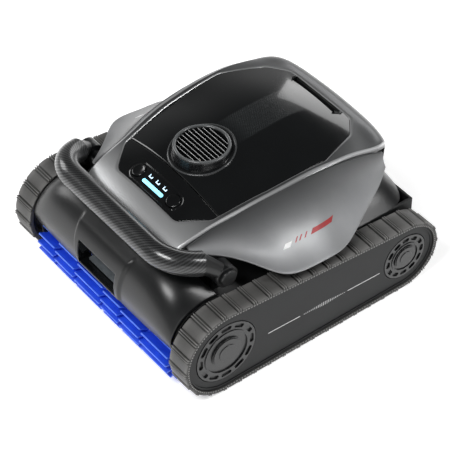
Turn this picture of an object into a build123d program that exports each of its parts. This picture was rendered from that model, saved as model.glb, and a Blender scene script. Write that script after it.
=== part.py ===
from build123d import *
import os
from math import acos, atan2, cos, hypot, pi, sin

# A cordless pool cleaner: two tread belts, a chassis tub between them, a styled shell on top,
# a lid with a round outlet grille, a bail handle and a paddle brush across the front.
# Front is -Y, right is +X, up is +Z. The origin is under the middle of the outline, on the floor.

os.makedirs("parts", exist_ok=True)

# Overall sizes
width = 400.0
height = 240.0
wheelbase = 312.0
front_radius = 71.0
rear_radius = 59.0
belt_width = 36.4
wall = 3.0
seam = 0.9
running_gap = 0.4

# The styling lines below are drawn on a body of this size and stretch with the real one
drawn_width = 400.0
drawn_length = 442.0
drawn_height = 240.0

# What follows from the overall sizes
length = wheelbase + front_radius + rear_radius
front_axle_y = front_radius - length / 2
rear_axle_y = front_axle_y + wheelbase
half_width = width / 2
belt_inner = half_width - belt_width

# Belt
band_thickness = 4.0
pad_height = 1.9
ridge_height = 3.6
lug_count = 40
pad_share = 0.68
ridge_share = 0.075
side_recess = 4.0
cover_thickness = 5.0
cover_gap = 1.2

# Wheels and drive
axle_radius = 6.0
bore_gap = 0.08
wheel_inset = 3.4
drum_width = 22.0
drum_wall = 5.0
hub_margin = 13.6
gear_module = 2.0
gear_teeth = 24
pinion_teeth = 8
gear_width = 8.0
motor_radius = 15.0

# Chassis
body_gap = 4.6
tub_wall = 4.0
clearance_under = 18.0
plate_thickness = 4.0
tub_top = 118.0

# Brush
brush_radius = 42.0
core_radius = 20.0
core_wall = 3.0
sleeve_thickness = 2.5
paddle_thickness = 3.0
paddle_rows = 18
paddle_lean = -8.0
paddle_twist = 4.0
segment_gap = 0.4
brush_end_gap = 2.0

# Handle
grip_radius = 17.0
grip_bend = 52.0
eye_radius = 16.5
pin_radius = 6.0
handle_post_width = 12.0

# Lid, grille and panel
ring_radius = 40.0
ring_wall = 5.5
base_ring_radius = 47.0
slat_count = 10
button_radius = 10.0
hinge_pin_radius = 1.8
lip_thickness = 1.0

# Pump and filter
impeller_radius = 31.0
duct_radius = 37.0
basket_wall = 2.5
mesh_thickness = 0.8
throat_width = 120.0
throat_depth = 26.0
throat_height = 34.0

body_half = belt_inner - body_gap
belt_depth = ridge_height + band_thickness


def sx(x):
    return x * width / drawn_width


def sy(y):
    return y * length / drawn_length


def sz(z):
    return z * height / drawn_height


def finish(piece, name):
    # One solid, or a group of separate solids, under its node's name
    piece.label = name
    export_step(piece, f"parts/{name}.step")


def mirrored(piece):
    # The same piece on the other side of the machine
    return mirror(piece, about=Plane.YZ)


def inset(points, depth):
    # Points moved at right angles to their line, to the side that lies inside the shell
    moved = []
    for i, (a, b) in enumerate(points):
        a0, b0 = points[max(i - 1, 0)]
        a1, b1 = points[min(i + 1, len(points) - 1)]
        run = hypot(a1 - a0, b1 - b0)
        moved.append((a + depth * (b1 - b0) / run, b - depth * (a1 - a0) / run))
    return moved


def shell_loft(sections, thickness):
    # A curved sheet through thin sections: outer line, inner line and two short ends
    with BuildPart() as sheet:
        for plane, points in sections:
            inner = inset(points, thickness)
            with BuildSketch(plane):
                with BuildLine():
                    Spline(*points)
                    Line(points[-1], inner[-1])
                    Spline(*reversed(inner))
                    Line(inner[0], points[0])
                make_face()
        loft()
    return sheet.part


def under_skin(lines, depth, floor):
    # The solid below a skin, its top lowered by a depth: lines are (x, points in Y and Z)
    with BuildPart() as volume:
        for x, points in lines:
            top = inset(points, depth)
            with BuildSketch(Plane.YZ.offset(x)):
                with BuildLine():
                    Spline(*top)
                    Polyline(top[-1], (top[-1][0], floor), (top[0][0], floor), top[0])
                make_face()
        loft()
    return volume.part


def prism(face_points, radius, inward, bottom, top):
    # An upright prism on a filleted outline, taken inward by a gap
    with BuildPart() as block:
        with BuildSketch(Plane.XY.offset(bottom)) as outline:
            with BuildLine():
                Polyline(*face_points, close=True)
            make_face()
            fillet(outline.vertices(), radius)
            if inward:
                offset(amount=-inward)
        extrude(amount=top - bottom)
    return block.part


def box_at(x0, x1, y0, y1, z0, z1):
    # A plain box between two corners, for cuts
    with BuildPart() as block:
        with BuildSketch(Plane.XY.offset(z0)):
            with Locations(((x0 + x1) / 2, (y0 + y1) / 2)):
                Rectangle(x1 - x0, y1 - y0)
        extrude(amount=z1 - z0)
    return block.part


def both_sides(points):
    # An outline's right half, front to rear, closed by its mirror image
    return points + [(-x, y) for x, y in reversed(points)]


def symmetric(table):
    # Skin lines for both sides from those of one side
    right = [(sx(x), [(sy(y), sz(z)) for y, z in points]) for x, points in table]
    return [(-x, points) for x, points in reversed(right) if x > 0] + right


# --- Belt loop: a stadium round two circles that both rest on the floor ---

radius_drop = front_radius - rear_radius
upper_angle = atan2(-radius_drop, wheelbase) + acos(radius_drop / hypot(wheelbase, radius_drop))
upper_run = wheelbase


def on_arc(centre_y, centre_z, radius, angle):
    return (centre_y + radius * cos(angle), centre_z + radius * sin(angle))


def loop_point(station, rise):
    # A point by its way along the band's outer face, raised from that face
    front_band = front_radius - ridge_height
    rear_band = rear_radius - ridge_height
    rear_arc = rear_band * (upper_angle + pi / 2)
    front_arc = front_band * (3 * pi / 2 - upper_angle)
    total = wheelbase + rear_arc + upper_run + front_arc
    s = station * total
    if s < wheelbase:
        return (front_axle_y + s, ridge_height - rise)
    s -= wheelbase
    if s < rear_arc:
        return on_arc(rear_axle_y, rear_radius, rear_band + rise, s / rear_band - pi / 2)
    s -= rear_arc
    if s < upper_run:
        start = on_arc(rear_axle_y, rear_radius, rear_band + rise, upper_angle)
        end = on_arc(front_axle_y, front_radius, front_band + rise, upper_angle)
        share = s / upper_run
        return (start[0] + share * (end[0] - start[0]), start[1] + share * (end[1] - start[1]))
    s -= upper_run
    return on_arc(front_axle_y, front_radius, front_band + rise, upper_angle + s / front_band)


def loop_outline(depth):
    # The stadium's outline at a depth under the belt's outermost face
    front_in = front_radius - depth
    rear_in = rear_radius - depth
    top_rear = on_arc(rear_axle_y, rear_radius, rear_in, upper_angle)
    top_front = on_arc(front_axle_y, front_radius, front_in, upper_angle)
    Line((front_axle_y, depth), (rear_axle_y, depth))
    ThreePointArc((rear_axle_y, depth), (rear_axle_y + rear_in, rear_radius), top_rear)
    Line(top_rear, top_front)
    ThreePointArc(top_front, (front_axle_y - front_in, front_radius), (front_axle_y, depth))


def lug_corners(index):
    # One lug: a wide flat pad, then two narrow ridges close together
    pitch = 1 / lug_count
    start = index * pitch
    spare = (1 - pad_share - 2 * ridge_share) / 3
    places = [(0, pad_share, pad_height)]
    for ridge in range(2):
        begin = pad_share + spare + ridge * (ridge_share + spare)
        places.append((begin, begin + ridge_share, ridge_height))
    corners = []
    for begin, end, rise in places:
        first = start + begin * pitch
        last = start + end * pitch
        corners += [loop_point(first, 0), loop_point(first, rise)]
        corners += [loop_point(last, rise), loop_point(last, 0)]
    return corners


belt_points = [point for index in range(lug_count) for point in lug_corners(index)]
with BuildPart() as belt:
    with BuildSketch(Plane.YZ.offset(belt_inner)):
        with BuildLine():
            Polyline(*belt_points, close=True)
        make_face()
        with BuildLine():
            loop_outline(belt_depth)
        make_face(mode=Mode.SUBTRACT)
    extrude(amount=belt_width)
finish(belt.part, "belt_right")
finish(mirrored(belt.part), "belt_left")

# --- Side covers: a plate inside each belt, open round the hubs ---

cover_face = half_width - side_recess
cover_back = cover_face - cover_thickness
front_hub_radius = front_radius - belt_depth - cover_gap - hub_margin
rear_hub_radius = rear_radius - belt_depth - cover_gap - hub_margin
post_radius = 7.0
post_places = [front_axle_y + wheelbase * share for share in (0.29, 0.53, 0.77)]
rim_width = 3.0
rim_height = 1.2

with BuildPart() as side_cover:
    with BuildSketch(Plane.YZ.offset(cover_back)):
        with BuildLine():
            loop_outline(belt_depth + cover_gap)
        make_face()
        with Locations((front_axle_y, front_radius)):
            Circle(front_hub_radius + cover_gap, mode=Mode.SUBTRACT)
        with Locations((rear_axle_y, rear_radius)):
            Circle(rear_hub_radius + cover_gap, mode=Mode.SUBTRACT)
    extrude(amount=cover_thickness)
    with BuildSketch(Plane.YZ.offset(cover_face)):
        with BuildLine():
            loop_outline(belt_depth + cover_gap)
        make_face()
        with BuildLine():
            loop_outline(belt_depth + cover_gap + rim_width)
        make_face(mode=Mode.SUBTRACT)
    extrude(amount=rim_height)
    with BuildSketch(Plane.YZ.offset(body_half)):
        with Locations(*[(y, rear_radius) for y in post_places]):
            Circle(post_radius)
    extrude(amount=cover_back - body_half)
finish(side_cover.part, "side_cover_right")
finish(mirrored(side_cover.part), "side_cover_left")

# --- Wheels: a drum behind the cover and a hub face that shows through it ---

drum_start = belt_inner + wheel_inset
drum_end = drum_start + drum_width
hub_face = cover_face + 0.5
hub_disc_rise = 1.2
cap_rise = 1.1
cap_step = 1.0
boss_ratio = 2.4
slot_count = 12
slot_depth = 2.5
slot_width = 6.4
slot_arc = 23.0
cap_share = 0.46
groove_inset = 1.8
groove_depth = 2.0


def wheel(axle_y, radius, hub_radius, bore):
    # Drum rim, web and hub face with a ring of slots round a raised, grooved disc
    drum_radius = radius - belt_depth - running_gap
    with BuildPart() as body:
        with BuildSketch(Plane.YZ.offset(drum_start)):
            with Locations((axle_y, radius)):
                Circle(drum_radius)
                Circle(drum_radius - drum_wall, mode=Mode.SUBTRACT)
        extrude(amount=drum_width)
        with BuildSketch(Plane.YZ.offset(drum_start)):
            with Locations((axle_y, radius)):
                Circle(axle_radius * boss_ratio)
        extrude(amount=drum_width)
        with BuildSketch(Plane.YZ.offset(drum_end - drum_wall)):
            with Locations((axle_y, radius)):
                Circle(drum_radius - drum_wall / 2)
        extrude(amount=drum_wall)
        with BuildSketch(Plane.YZ.offset(drum_end)):
            with Locations((axle_y, radius)):
                Circle(hub_radius)
        extrude(amount=hub_face - drum_end)
        slot_radius = hub_radius - slot_width
        with BuildSketch(Plane.YZ.offset(hub_face)):
            with Locations((axle_y, radius)):
                with PolarLocations(slot_radius, slot_count):
                    SlotOverall(2 * slot_radius * sin(slot_arc * pi / 360), slot_width, rotation=90)
        extrude(amount=-slot_depth, mode=Mode.SUBTRACT)
        with BuildSketch(Plane.YZ.offset(hub_face)):
            with Locations((axle_y, radius)):
                Circle(slot_radius - slot_width)
        extrude(amount=hub_disc_rise)
        with BuildSketch(Plane.YZ.offset(hub_face + hub_disc_rise)):
            with Locations((axle_y, radius)):
                Circle(slot_radius - slot_width - groove_inset)
                Circle(hub_radius * cap_share + groove_inset, mode=Mode.SUBTRACT)
        extrude(amount=-groove_depth, mode=Mode.SUBTRACT)
        with BuildSketch(Plane.YZ.offset(drum_start)):
            with Locations((axle_y, radius)):
                Circle(axle_radius + bore)
        extrude(amount=drum_width, mode=Mode.SUBTRACT)
    return body.part


def hub_cap(axle_y, radius, cap_radius):
    # A low stepped cap, domed by a chamfer, on the hub's raised disc
    with BuildPart() as cap:
        with BuildSketch(Plane.YZ.offset(hub_face + hub_disc_rise)):
            with Locations((axle_y, radius)):
                Circle(cap_radius)
        extrude(amount=cap_rise)
        with BuildSketch(Plane.YZ.offset(hub_face + hub_disc_rise + cap_rise)):
            with Locations((axle_y, radius)):
                Circle(cap_radius * 0.62)
        extrude(amount=cap_step)
        chamfer(cap.edges().group_by(Axis.X)[-1], 0.6)
    return cap.part


front_wheel = wheel(front_axle_y, front_radius, front_hub_radius, bore_gap)
rear_wheel = wheel(rear_axle_y, rear_radius, rear_hub_radius, 0)
front_cap = hub_cap(front_axle_y, front_radius, front_hub_radius * cap_share)
rear_cap = hub_cap(rear_axle_y, rear_radius, rear_hub_radius * cap_share)
for piece, name in (
    (front_wheel, "front_wheel"),
    (rear_wheel, "rear_wheel"),
    (front_cap, "front_hub_cap"),
    (rear_cap, "rear_hub_cap"),
):
    finish(piece, f"{name}_right")
    finish(mirrored(piece), f"{name}_left")

# --- Front stub axles, held in the cheeks on each side of the brush ---

cheek_inner = body_half - tub_wall
with BuildPart() as stub:
    with BuildSketch(Plane.YZ.offset(cheek_inner)):
        with Locations((front_axle_y, front_radius)):
            Circle(axle_radius)
    extrude(amount=drum_end - 0.5 - cheek_inner)
    with BuildSketch(Plane.YZ.offset(body_half)):
        with Locations((front_axle_y, front_radius)):
            Circle(axle_radius * 1.8)
    extrude(amount=(belt_inner - body_half) / 2)
finish(Compound([stub.part, mirrored(stub.part)]), "front_axles")

# --- Rear shafts with a gear inside the tub, a pinion and its motor ---

gear_wall_gap = 6.0
gear_start = cheek_inner - gear_wall_gap - gear_width
centre_distance = gear_module * (gear_teeth + pinion_teeth) / 2 + running_gap
pinion_y = rear_axle_y - centre_distance


def gear(centre_y, centre_z, teeth, turn, bore):
    # Straight-sided teeth, narrower than their gaps
    pitch_radius = gear_module * teeth / 2
    root = pitch_radius - 0.95 * gear_module
    tip = pitch_radius + 0.75 * gear_module
    step = 2 * pi / teeth
    points = []
    for tooth in range(teeth):
        middle = (tooth + turn) * step
        for share, radius in ((-0.27, root), (-0.13, tip), (0.13, tip), (0.27, root)):
            points.append(on_arc(centre_y, centre_z, radius, middle + share * step))
    with BuildPart() as body:
        with BuildSketch(Plane.YZ.offset(gear_start)):
            with BuildLine():
                Polyline(*points, close=True)
            make_face()
            with Locations((centre_y, centre_z)):
                Circle(bore, mode=Mode.SUBTRACT)
        extrude(amount=gear_width)
    return body.part


with BuildPart() as shaft:
    with BuildSketch(Plane.YZ.offset(gear_start)):
        with Locations((rear_axle_y, rear_radius)):
            Circle(axle_radius)
    extrude(amount=drum_end - gear_start)
finish(shaft.part, "rear_axle_right")
finish(mirrored(shaft.part), "rear_axle_left")

drive_gear = gear(rear_axle_y, rear_radius, gear_teeth, 0, axle_radius)
finish(drive_gear, "drive_gear_right")
finish(mirrored(drive_gear), "drive_gear_left")

motor_shaft_radius = 2.5
drive_pinion = gear(pinion_y, rear_radius, pinion_teeth, 0.5, motor_shaft_radius + bore_gap)
finish(drive_pinion, "drive_pinion_right")
finish(mirrored(drive_pinion), "drive_pinion_left")

motor_length = 44.0
motor_gap = 2.0
with BuildPart() as drive_motor:
    with BuildSketch(Plane.YZ.offset(gear_start - motor_gap - motor_length)):
        with Locations((pinion_y, rear_radius)):
            Circle(motor_radius)
    extrude(amount=motor_length)
    chamfer(drive_motor.edges().group_by(Axis.X)[0], 2)
    with BuildSketch(Plane.YZ.offset(gear_start - motor_gap)):
        with Locations((pinion_y, rear_radius)):
            Circle(motor_shaft_radius)
    extrude(amount=gear_width + motor_gap + 1)
finish(Compound([drive_motor.part, mirrored(drive_motor.part)]), "drive_motors")

# --- Belt guides: a skid under each side that keeps the lower run straight ---

guide_start = front_axle_y + front_radius * 0.7
guide_end = rear_axle_y - rear_radius * 0.88
skid_height = 6.0
bracket_height = 8.0
bracket_depth = 12.0
with BuildPart() as guide:
    with BuildSketch(Plane.XY.offset(belt_depth + running_gap)):
        with Locations(((drum_start + drum_end) / 2, (guide_start + guide_end) / 2)):
            Rectangle(drum_width, guide_end - guide_start)
    extrude(amount=skid_height)
    with BuildSketch(Plane.XY.offset(belt_depth + running_gap + skid_height)):
        with Locations(((body_half + drum_end) / 2, (guide_start + guide_end) / 2)):
            with GridLocations(0, (guide_end - guide_start) * 0.7, 1, 2):
                Rectangle(drum_end - body_half, bracket_depth)
    extrude(amount=bracket_height)
finish(Compound([guide.part, mirrored(guide.part)]), "belt_guides")

# --- Chassis tub with cheeks that carry the brush and the front axles ---

brush_y = brush_radius + 2 - length / 2
brush_z = brush_radius + 2.5
tub_front = brush_y + brush_radius + 7
tub_rear = length / 2 - 16
tail_run = 18.0
tail_rise = 26.0
throat_y = sy(44)

fairing_table = [
    (0, [(-212, 80), (-217, 106), (-212, 136), (-197, 158), (-174, 168), (-150, 167)]),
    (100, [(-212, 80), (-217, 106), (-212, 136), (-197, 158), (-174, 167), (-150, 165)]),
    (135, [(-211, 80), (-216, 103), (-210, 130), (-194, 149), (-170, 157), (-146, 155)]),
    (159, [(-210, 80), (-213, 96), (-204, 116), (-186, 132), (-160, 139), (-134, 138)]),
]
fairing_lines = symmetric(fairing_table)
fairing_end = fairing_lines[-1][0]
fairing_lines = [(x * body_half / fairing_end, points) for x, points in fairing_lines]
cheek_top = inset(fairing_lines[-1][1], wall + 1.5)

with BuildPart() as tub:
    with BuildSketch(Plane.YZ.offset(-body_half)) as tub_side:
        with BuildLine():
            Polyline(
                (tub_front, clearance_under),
                (tub_rear - tail_run, clearance_under),
                (tub_rear, clearance_under + tail_rise),
                (tub_rear, tub_top),
                (tub_front, tub_top),
                close=True,
            )
        make_face()
    extrude(amount=2 * body_half)
    with BuildSketch(Plane.YZ.offset(-cheek_inner)):
        with BuildLine():
            Polyline(
                (tub_front + tub_wall, clearance_under + tub_wall),
                (tub_rear - tail_run - 2, clearance_under + tub_wall),
                (tub_rear - tub_wall, clearance_under + tail_rise + 2),
                (tub_rear - tub_wall, tub_top + 1),
                (tub_front + tub_wall, tub_top + 1),
                close=True,
            )
        make_face()
    extrude(amount=2 * cheek_inner, mode=Mode.SUBTRACT)
    for side in (-1, 1):
        with BuildSketch(Plane.YZ.offset(side * (cheek_inner + body_half) / 2)) as cheek:
            with BuildLine():
                Polyline(
                    *cheek_top,
                    (tub_front + 8, tub_top),
                    (tub_front + 8, clearance_under),
                    (brush_y - 6, clearance_under),
                    (brush_y - brush_radius * 0.6, brush_z * 0.8),
                    close=True,
                )
            make_face()
        extrude(amount=tub_wall / 2, both=True)
    with BuildSketch(Plane.YZ.offset(-body_half)):
        with Locations((front_axle_y, front_radius)):
            Circle(axle_radius)
    extrude(amount=2 * body_half, mode=Mode.SUBTRACT)
    with BuildSketch(Plane.YZ.offset(-body_half)):
        with Locations((rear_axle_y, rear_radius)):
            Circle(axle_radius + bore_gap)
    extrude(amount=2 * body_half, mode=Mode.SUBTRACT)
    with BuildSketch(Plane.XY.offset(clearance_under)):
        with Locations((0, throat_y)):
            RectangleRounded(throat_width, throat_depth, 8)
    extrude(amount=tub_wall, mode=Mode.SUBTRACT)
finish(tub.part, "chassis_tub")

# --- Base plate under the tub, round the suction inlet ---

plate_half = body_half - 16
plate_front = tub_front + 6
plate_rear = tub_rear - 24
screw_radius = 2.0
screw_head = 4.0
plate_middle = (plate_front + plate_rear) / 2
screw_x = 2 * (plate_half - 10)
screw_y = (plate_rear - plate_front - 20) / 3
with BuildPart() as base_plate:
    with BuildSketch(Plane.XY.offset(clearance_under - plate_thickness)):
        with Locations((0, plate_middle)):
            RectangleRounded(2 * plate_half, plate_rear - plate_front, 14)
        with Locations((0, throat_y)):
            RectangleRounded(throat_width, throat_depth, 8, mode=Mode.SUBTRACT)
    extrude(amount=plate_thickness)
    with Locations(Plane.XY.offset(clearance_under - plate_thickness)):
        with Locations((0, plate_middle)):
            with GridLocations(screw_x, screw_y, 2, 4):
                Cylinder(
                    screw_head,
                    2,
                    align=(Align.CENTER, Align.CENTER, Align.MIN),
                    mode=Mode.SUBTRACT,
                )
finish(base_plate.part, "base_plate")

with BuildPart() as screws:
    with BuildSketch(Plane.XY.offset(clearance_under - plate_thickness + 0.3)):
        with Locations((0, plate_middle)):
            with GridLocations(screw_x, screw_y, 2, 4):
                Circle(screw_head - 0.4)
                RegularPolygon(1.6, 6, mode=Mode.SUBTRACT)
    extrude(amount=1.7)
finish(screws.part, "base_screws")

# --- Front fairing, its nose and the sensor window ---

nose_half = 58.0
nose_rise = 3.6
recess_half = 42.0
recess_low = 94.0
recess_high = 132.0
recess_back = sy(-198)

fairing_sheet = shell_loft([(Plane.YZ.offset(x), points) for x, points in fairing_lines], wall)
recess_cut = box_at(-recess_half, recess_half, sy(-230), recess_back, sz(recess_low), sz(recess_high))
with BuildPart() as fairing:
    add(fairing_sheet)
    add(recess_cut, mode=Mode.SUBTRACT)
finish(fairing.part, "front_fairing")


def behind_fairing(rise):
    # The solid behind the fairing's outer face, that face raised outward
    with BuildPart() as block:
        for x, points in fairing_lines:
            front = inset(points, -rise)
            corner = (front[-1][0] + 20, front[0][1])
            with BuildSketch(Plane.YZ.offset(x)):
                with BuildLine():
                    Spline(*front)
                    Polyline(front[-1], (corner[0], front[-1][1]), corner, front[0])
                make_face()
        loft()
    return block.part


nose_low = 88.0
nose_high = 160.0
nose_taper = 8.0
nose_reach = 60.0
skin_gap = 0.02
with BuildPart() as nose_outline:
    with BuildSketch(Plane.XZ.offset(length / 2 + 10)):
        with BuildLine():
            Polyline(
                (sx(-nose_half + nose_taper), sz(nose_low)),
                (sx(nose_half - nose_taper), sz(nose_low)),
                (sx(nose_half), sz(nose_high)),
                (sx(-nose_half), sz(nose_high)),
                close=True,
            )
        make_face()
    extrude(amount=-nose_reach)

with BuildPart() as nose:
    add(behind_fairing(nose_rise))
    add(behind_fairing(skin_gap), mode=Mode.SUBTRACT)
    add(nose_outline.part, mode=Mode.INTERSECT)
    add(recess_cut, mode=Mode.SUBTRACT)
finish(nose.part, "nose_cover")

pocket = 2.0
with BuildPart() as window:
    with BuildSketch(Plane.XZ.offset(-recess_back)):
        with Locations((0, sz((recess_low + recess_high) / 2))):
            Rectangle(2 * recess_half - 1, sz(recess_high - recess_low) - 1)
    extrude(amount=-pocket)
    with BuildSketch(Plane.XZ.offset(-recess_back)):
        with Locations((0, sz(recess_low) + 3.5)):
            Rectangle(2 * recess_half - 14, 4)
    extrude(amount=9)
finish(window.part, "sensor_window")

with BuildPart() as eye:
    with BuildSketch(Plane.XZ.offset(-recess_back)):
        with Locations((sx(14), sz((recess_low + recess_high) / 2) + 3)):
            Circle(3.2)
    extrude(amount=1.6)
finish(eye.part, "sensor_eye")

# --- Brush: a hollow core, its motor inside and a rubber sleeve with leaning paddles ---

brush_half = cheek_inner - brush_end_gap
brush_motor_length = 90.0
core_disc = 8.0
pin_hold = 10.0
segment_shares = (0.137, 0.157, 0.203, 0.140, 0.157, 0.206)
with BuildPart() as core:
    with BuildSketch(Plane.YZ.offset(-brush_half)):
        with Locations((brush_y, brush_z)):
            Circle(core_radius)
            Circle(core_radius - core_wall, mode=Mode.SUBTRACT)
    extrude(amount=2 * brush_half)
    with BuildSketch(Plane.YZ.offset(brush_half - pin_hold - 2)):
        with Locations((brush_y, brush_z)):
            Circle(core_radius - core_wall / 2)
            Circle(pin_radius + bore_gap, mode=Mode.SUBTRACT)
    extrude(amount=pin_hold + 2)
    with BuildSketch(Plane.YZ.offset(-brush_half + brush_motor_length + pin_hold)):
        with Locations((brush_y, brush_z)):
            Circle(core_radius - core_wall / 2)
            Circle(motor_shaft_radius + bore_gap, mode=Mode.SUBTRACT)
    extrude(amount=core_disc)
finish(core.part, "brush_core")

sleeve_radius = core_radius + sleeve_thickness


def paddle_line(angle):
    # A paddle's middle line: it starts in the sleeve and leans a little as it goes out
    base = on_arc(brush_y, brush_z, core_radius + 1.2, angle)
    lean = angle + paddle_lean * pi / 180
    reach = brush_radius - 1.5
    start = core_radius + 1.2
    # length at which the leaning line meets the brush's outer radius
    along = (reach ** 2 - (start * sin(lean - angle)) ** 2) ** 0.5 - start * cos(lean - angle)
    return base, (base[0] + along * cos(lean), base[1] + along * sin(lean)), lean


def paddle_corners(angle):
    # Four corners: thick at the root, thin and bevelled at the tip
    base, tip, lean = paddle_line(angle)
    across = lean + pi / 2
    corners = []
    for point, half in ((base, paddle_thickness / 2), (tip, paddle_thickness / 2)):
        corners.append((point[0] + half * cos(across), point[1] + half * sin(across)))
    for point, half in ((tip, paddle_thickness / 3), (base, paddle_thickness / 2)):
        corners.append((point[0] - half * cos(across), point[1] - half * sin(across)))
    return corners


with BuildPart() as paddles:
    with BuildSketch(Plane.YZ.offset(-brush_half)):
        with Locations((brush_y, brush_z)):
            Circle(sleeve_radius)
            Circle(core_radius, mode=Mode.SUBTRACT)
    extrude(amount=2 * brush_half)
    start = -brush_half
    for number, share in enumerate(segment_shares):
        segment = 2 * brush_half * share
        with BuildSketch(Plane.YZ.offset(start + segment_gap)):
            for row in range(paddle_rows):
                # each segment is turned a little on from the last
                turn = row * 2 * pi / paddle_rows + number * paddle_twist * pi / 180
                with BuildLine():
                    Polyline(*paddle_corners(turn), close=True)
                make_face()
        extrude(amount=segment - 2 * segment_gap)
        start += segment
    with BuildSketch(Plane.YZ.offset(-brush_half)):
        with Locations((brush_y, brush_z)):
            Circle(core_radius)
    extrude(amount=2 * brush_half, mode=Mode.SUBTRACT)
finish(paddles.part, "brush_paddles")

brush_motor_radius = core_radius - core_wall - 1.5
with BuildPart() as brush_motor:
    with BuildSketch(Plane.YZ.offset(-cheek_inner)):
        with Locations((brush_y, brush_z)):
            Circle(brush_motor_radius)
    extrude(amount=brush_motor_length)
    with BuildSketch(Plane.YZ.offset(-cheek_inner + brush_motor_length)):
        with Locations((brush_y, brush_z)):
            Circle(motor_shaft_radius)
    extrude(amount=pin_hold + core_disc)
finish(brush_motor.part, "brush_motor")

with BuildPart() as brush_pin:
    with BuildSketch(Plane.YZ.offset(brush_half - pin_hold)):
        with Locations((brush_y, brush_z)):
            Circle(pin_radius)
    extrude(amount=cheek_inner - brush_half + pin_hold)
finish(brush_pin.part, "brush_pin")

# --- Skins of the top frame and of the lid: side views at several widths ---

frame_table = [
    (0, [(-172, 176), (-167, 184), (-134, 202), (-88, 212), (-40, 220), (0, 225), (45, 229),
         (90, 230), (130, 227), (162, 221), (186, 215), (198, 203), (204, 184), (206, 160)]),
    (62, [(-172, 174), (-166, 182), (-134, 199.5), (-88, 210), (-40, 218.5), (0, 224), (45, 228),
          (90, 229), (130, 226), (162, 220.5), (184, 214.5), (196, 203), (202, 184), (204, 160)]),
    (100, [(-170, 169), (-164, 178), (-134, 195.5), (-88, 207), (-40, 217), (0, 222), (45, 226),
           (90, 226.5), (130, 222.5), (160, 217), (182, 211), (192, 200), (198, 183), (200, 160)]),
    (130, [(-168, 164), (-162, 172), (-134, 193), (-88, 208), (-40, 221), (0, 225.5), (34, 227.5),
           (88, 225), (118, 219), (148, 209.5), (170, 200), (182, 190), (189, 176), (192, 160)]),
]
lid_table = [
    (0, [(-150, 197), (-130, 203), (-88, 218.5), (-40, 229.5), (0, 235), (45, 238.5),
         (90, 239), (130, 233), (166, 222), (200, 209)]),
    (62, [(-150, 194), (-130, 200.5), (-88, 213), (-40, 224), (0, 229), (45, 233.5),
          (90, 234), (130, 228), (166, 218.5), (200, 206)]),
    (120, [(-150, 186), (-130, 190), (-88, 200.5), (-40, 210.5), (0, 217), (45, 223.5),
           (90, 224), (130, 219), (166, 210), (200, 200)]),
]
frame_floor = sz(140)
frame_lines = symmetric(frame_table)
lid_lines = symmetric(lid_table)
frame_over = under_skin(frame_lines, 0, frame_floor)
frame_under = under_skin(frame_lines, wall, frame_floor - 5)
lid_over = under_skin(lid_lines, 0, frame_floor)
lid_under = under_skin(lid_lines, wall, frame_floor - 5)

crease = [(96, -176), (101, -151), (106, -107), (114, -62), (120.5, -16), (124, 34),
          (126.5, 90), (126, 145), (121, 181), (104, 199), (60, 206)]
crease = [(sx(x), sy(y)) for x, y in crease]


def crease_prism(inward, bottom, top):
    # An upright prism on the frame's plan outline, taken inward by a gap
    right = [(x - inward, y - inward * (y > sy(190))) for x, y in crease]
    around = right + [(-x, y) for x, y in reversed(right)]
    with BuildPart() as block:
        with BuildSketch(Plane.XY.offset(bottom)):
            with BuildLine():
                Spline(*around)
                Line(around[-1], around[0])
            make_face()
        extrude(amount=top - bottom)
    return block.part


opening = [(66, -134), (97, -98), (109.5, -15), (116, 78), (92, 143), (64, 166)]
opening_outline = both_sides([(sx(x), sy(y)) for x, y in opening])
opening_corner = 18.0
above = sz(290)


def opening_prism(inward):
    return prism(opening_outline, opening_corner, inward, frame_floor - 10, above)


with BuildPart() as frame_shell:
    add(frame_over)
    add(frame_under, mode=Mode.SUBTRACT)
    add(crease_prism(0, frame_floor - 10, above), mode=Mode.INTERSECT)
    add(opening_prism(0), mode=Mode.SUBTRACT)
    add(box_at(-width, width, -length, 0, 0, sz(176)), mode=Mode.SUBTRACT)
    add(box_at(-width, width, 0, length, 0, sz(163)), mode=Mode.SUBTRACT)
finish(frame_shell.part, "top_frame")

# --- Wings: sheets that flare from the crease out over the belts ---

wing_table = [
    (-143, 103.4, 189.5, 111, 184.5),
    (-127, 105.2, 195.5, 123, 181),
    (-101, 108.2, 203, 144, 176),
    (-77, 113, 210, 168, 166),
    (-55, 116.8, 216, 189, 155),
    (-36, 119.4, 219.5, 197, 150.5),
    (0, 123.2, 223.5, 198.5, 146),
    (34, 125.4, 225, 197, 143.5),
    (60, 126.8, 224.5, 190, 141),
    (86, 128, 223, 178, 144),
    (122, 128.2, 216, 160, 152.5),
    (156, 126.4, 205, 143.5, 163),
    (176, 123.6, 194.5, 131, 172),
]
wing_hollow = 0.085


def wing_section(y, x0, z0, x1, z1):
    # From the crease down and out to the lower edge, hollowed a little on the way
    chord = hypot(x1 - x0, z1 - z0)
    sag = wing_hollow * chord
    mid = (x0 + 0.42 * (x1 - x0) + sag * (z1 - z0) / chord,
           z0 + 0.42 * (z1 - z0) - sag * (x1 - x0) / chord)
    points = [(x0, z0), mid, (x1, z1)]
    return Plane.XZ.offset(-sy(y)), [(sx(x), sz(z)) for x, z in points]


with BuildPart() as wing:
    add(shell_loft([wing_section(*row) for row in wing_table], wall))
    add(crease_prism(-seam, frame_floor - 30, above), mode=Mode.SUBTRACT)
finish(wing.part, "wing_right")
finish(mirrored(wing.part), "wing_left")

# --- Upper body: the dark part between tub and frame, hollow, waisted on the way up ---

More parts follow.
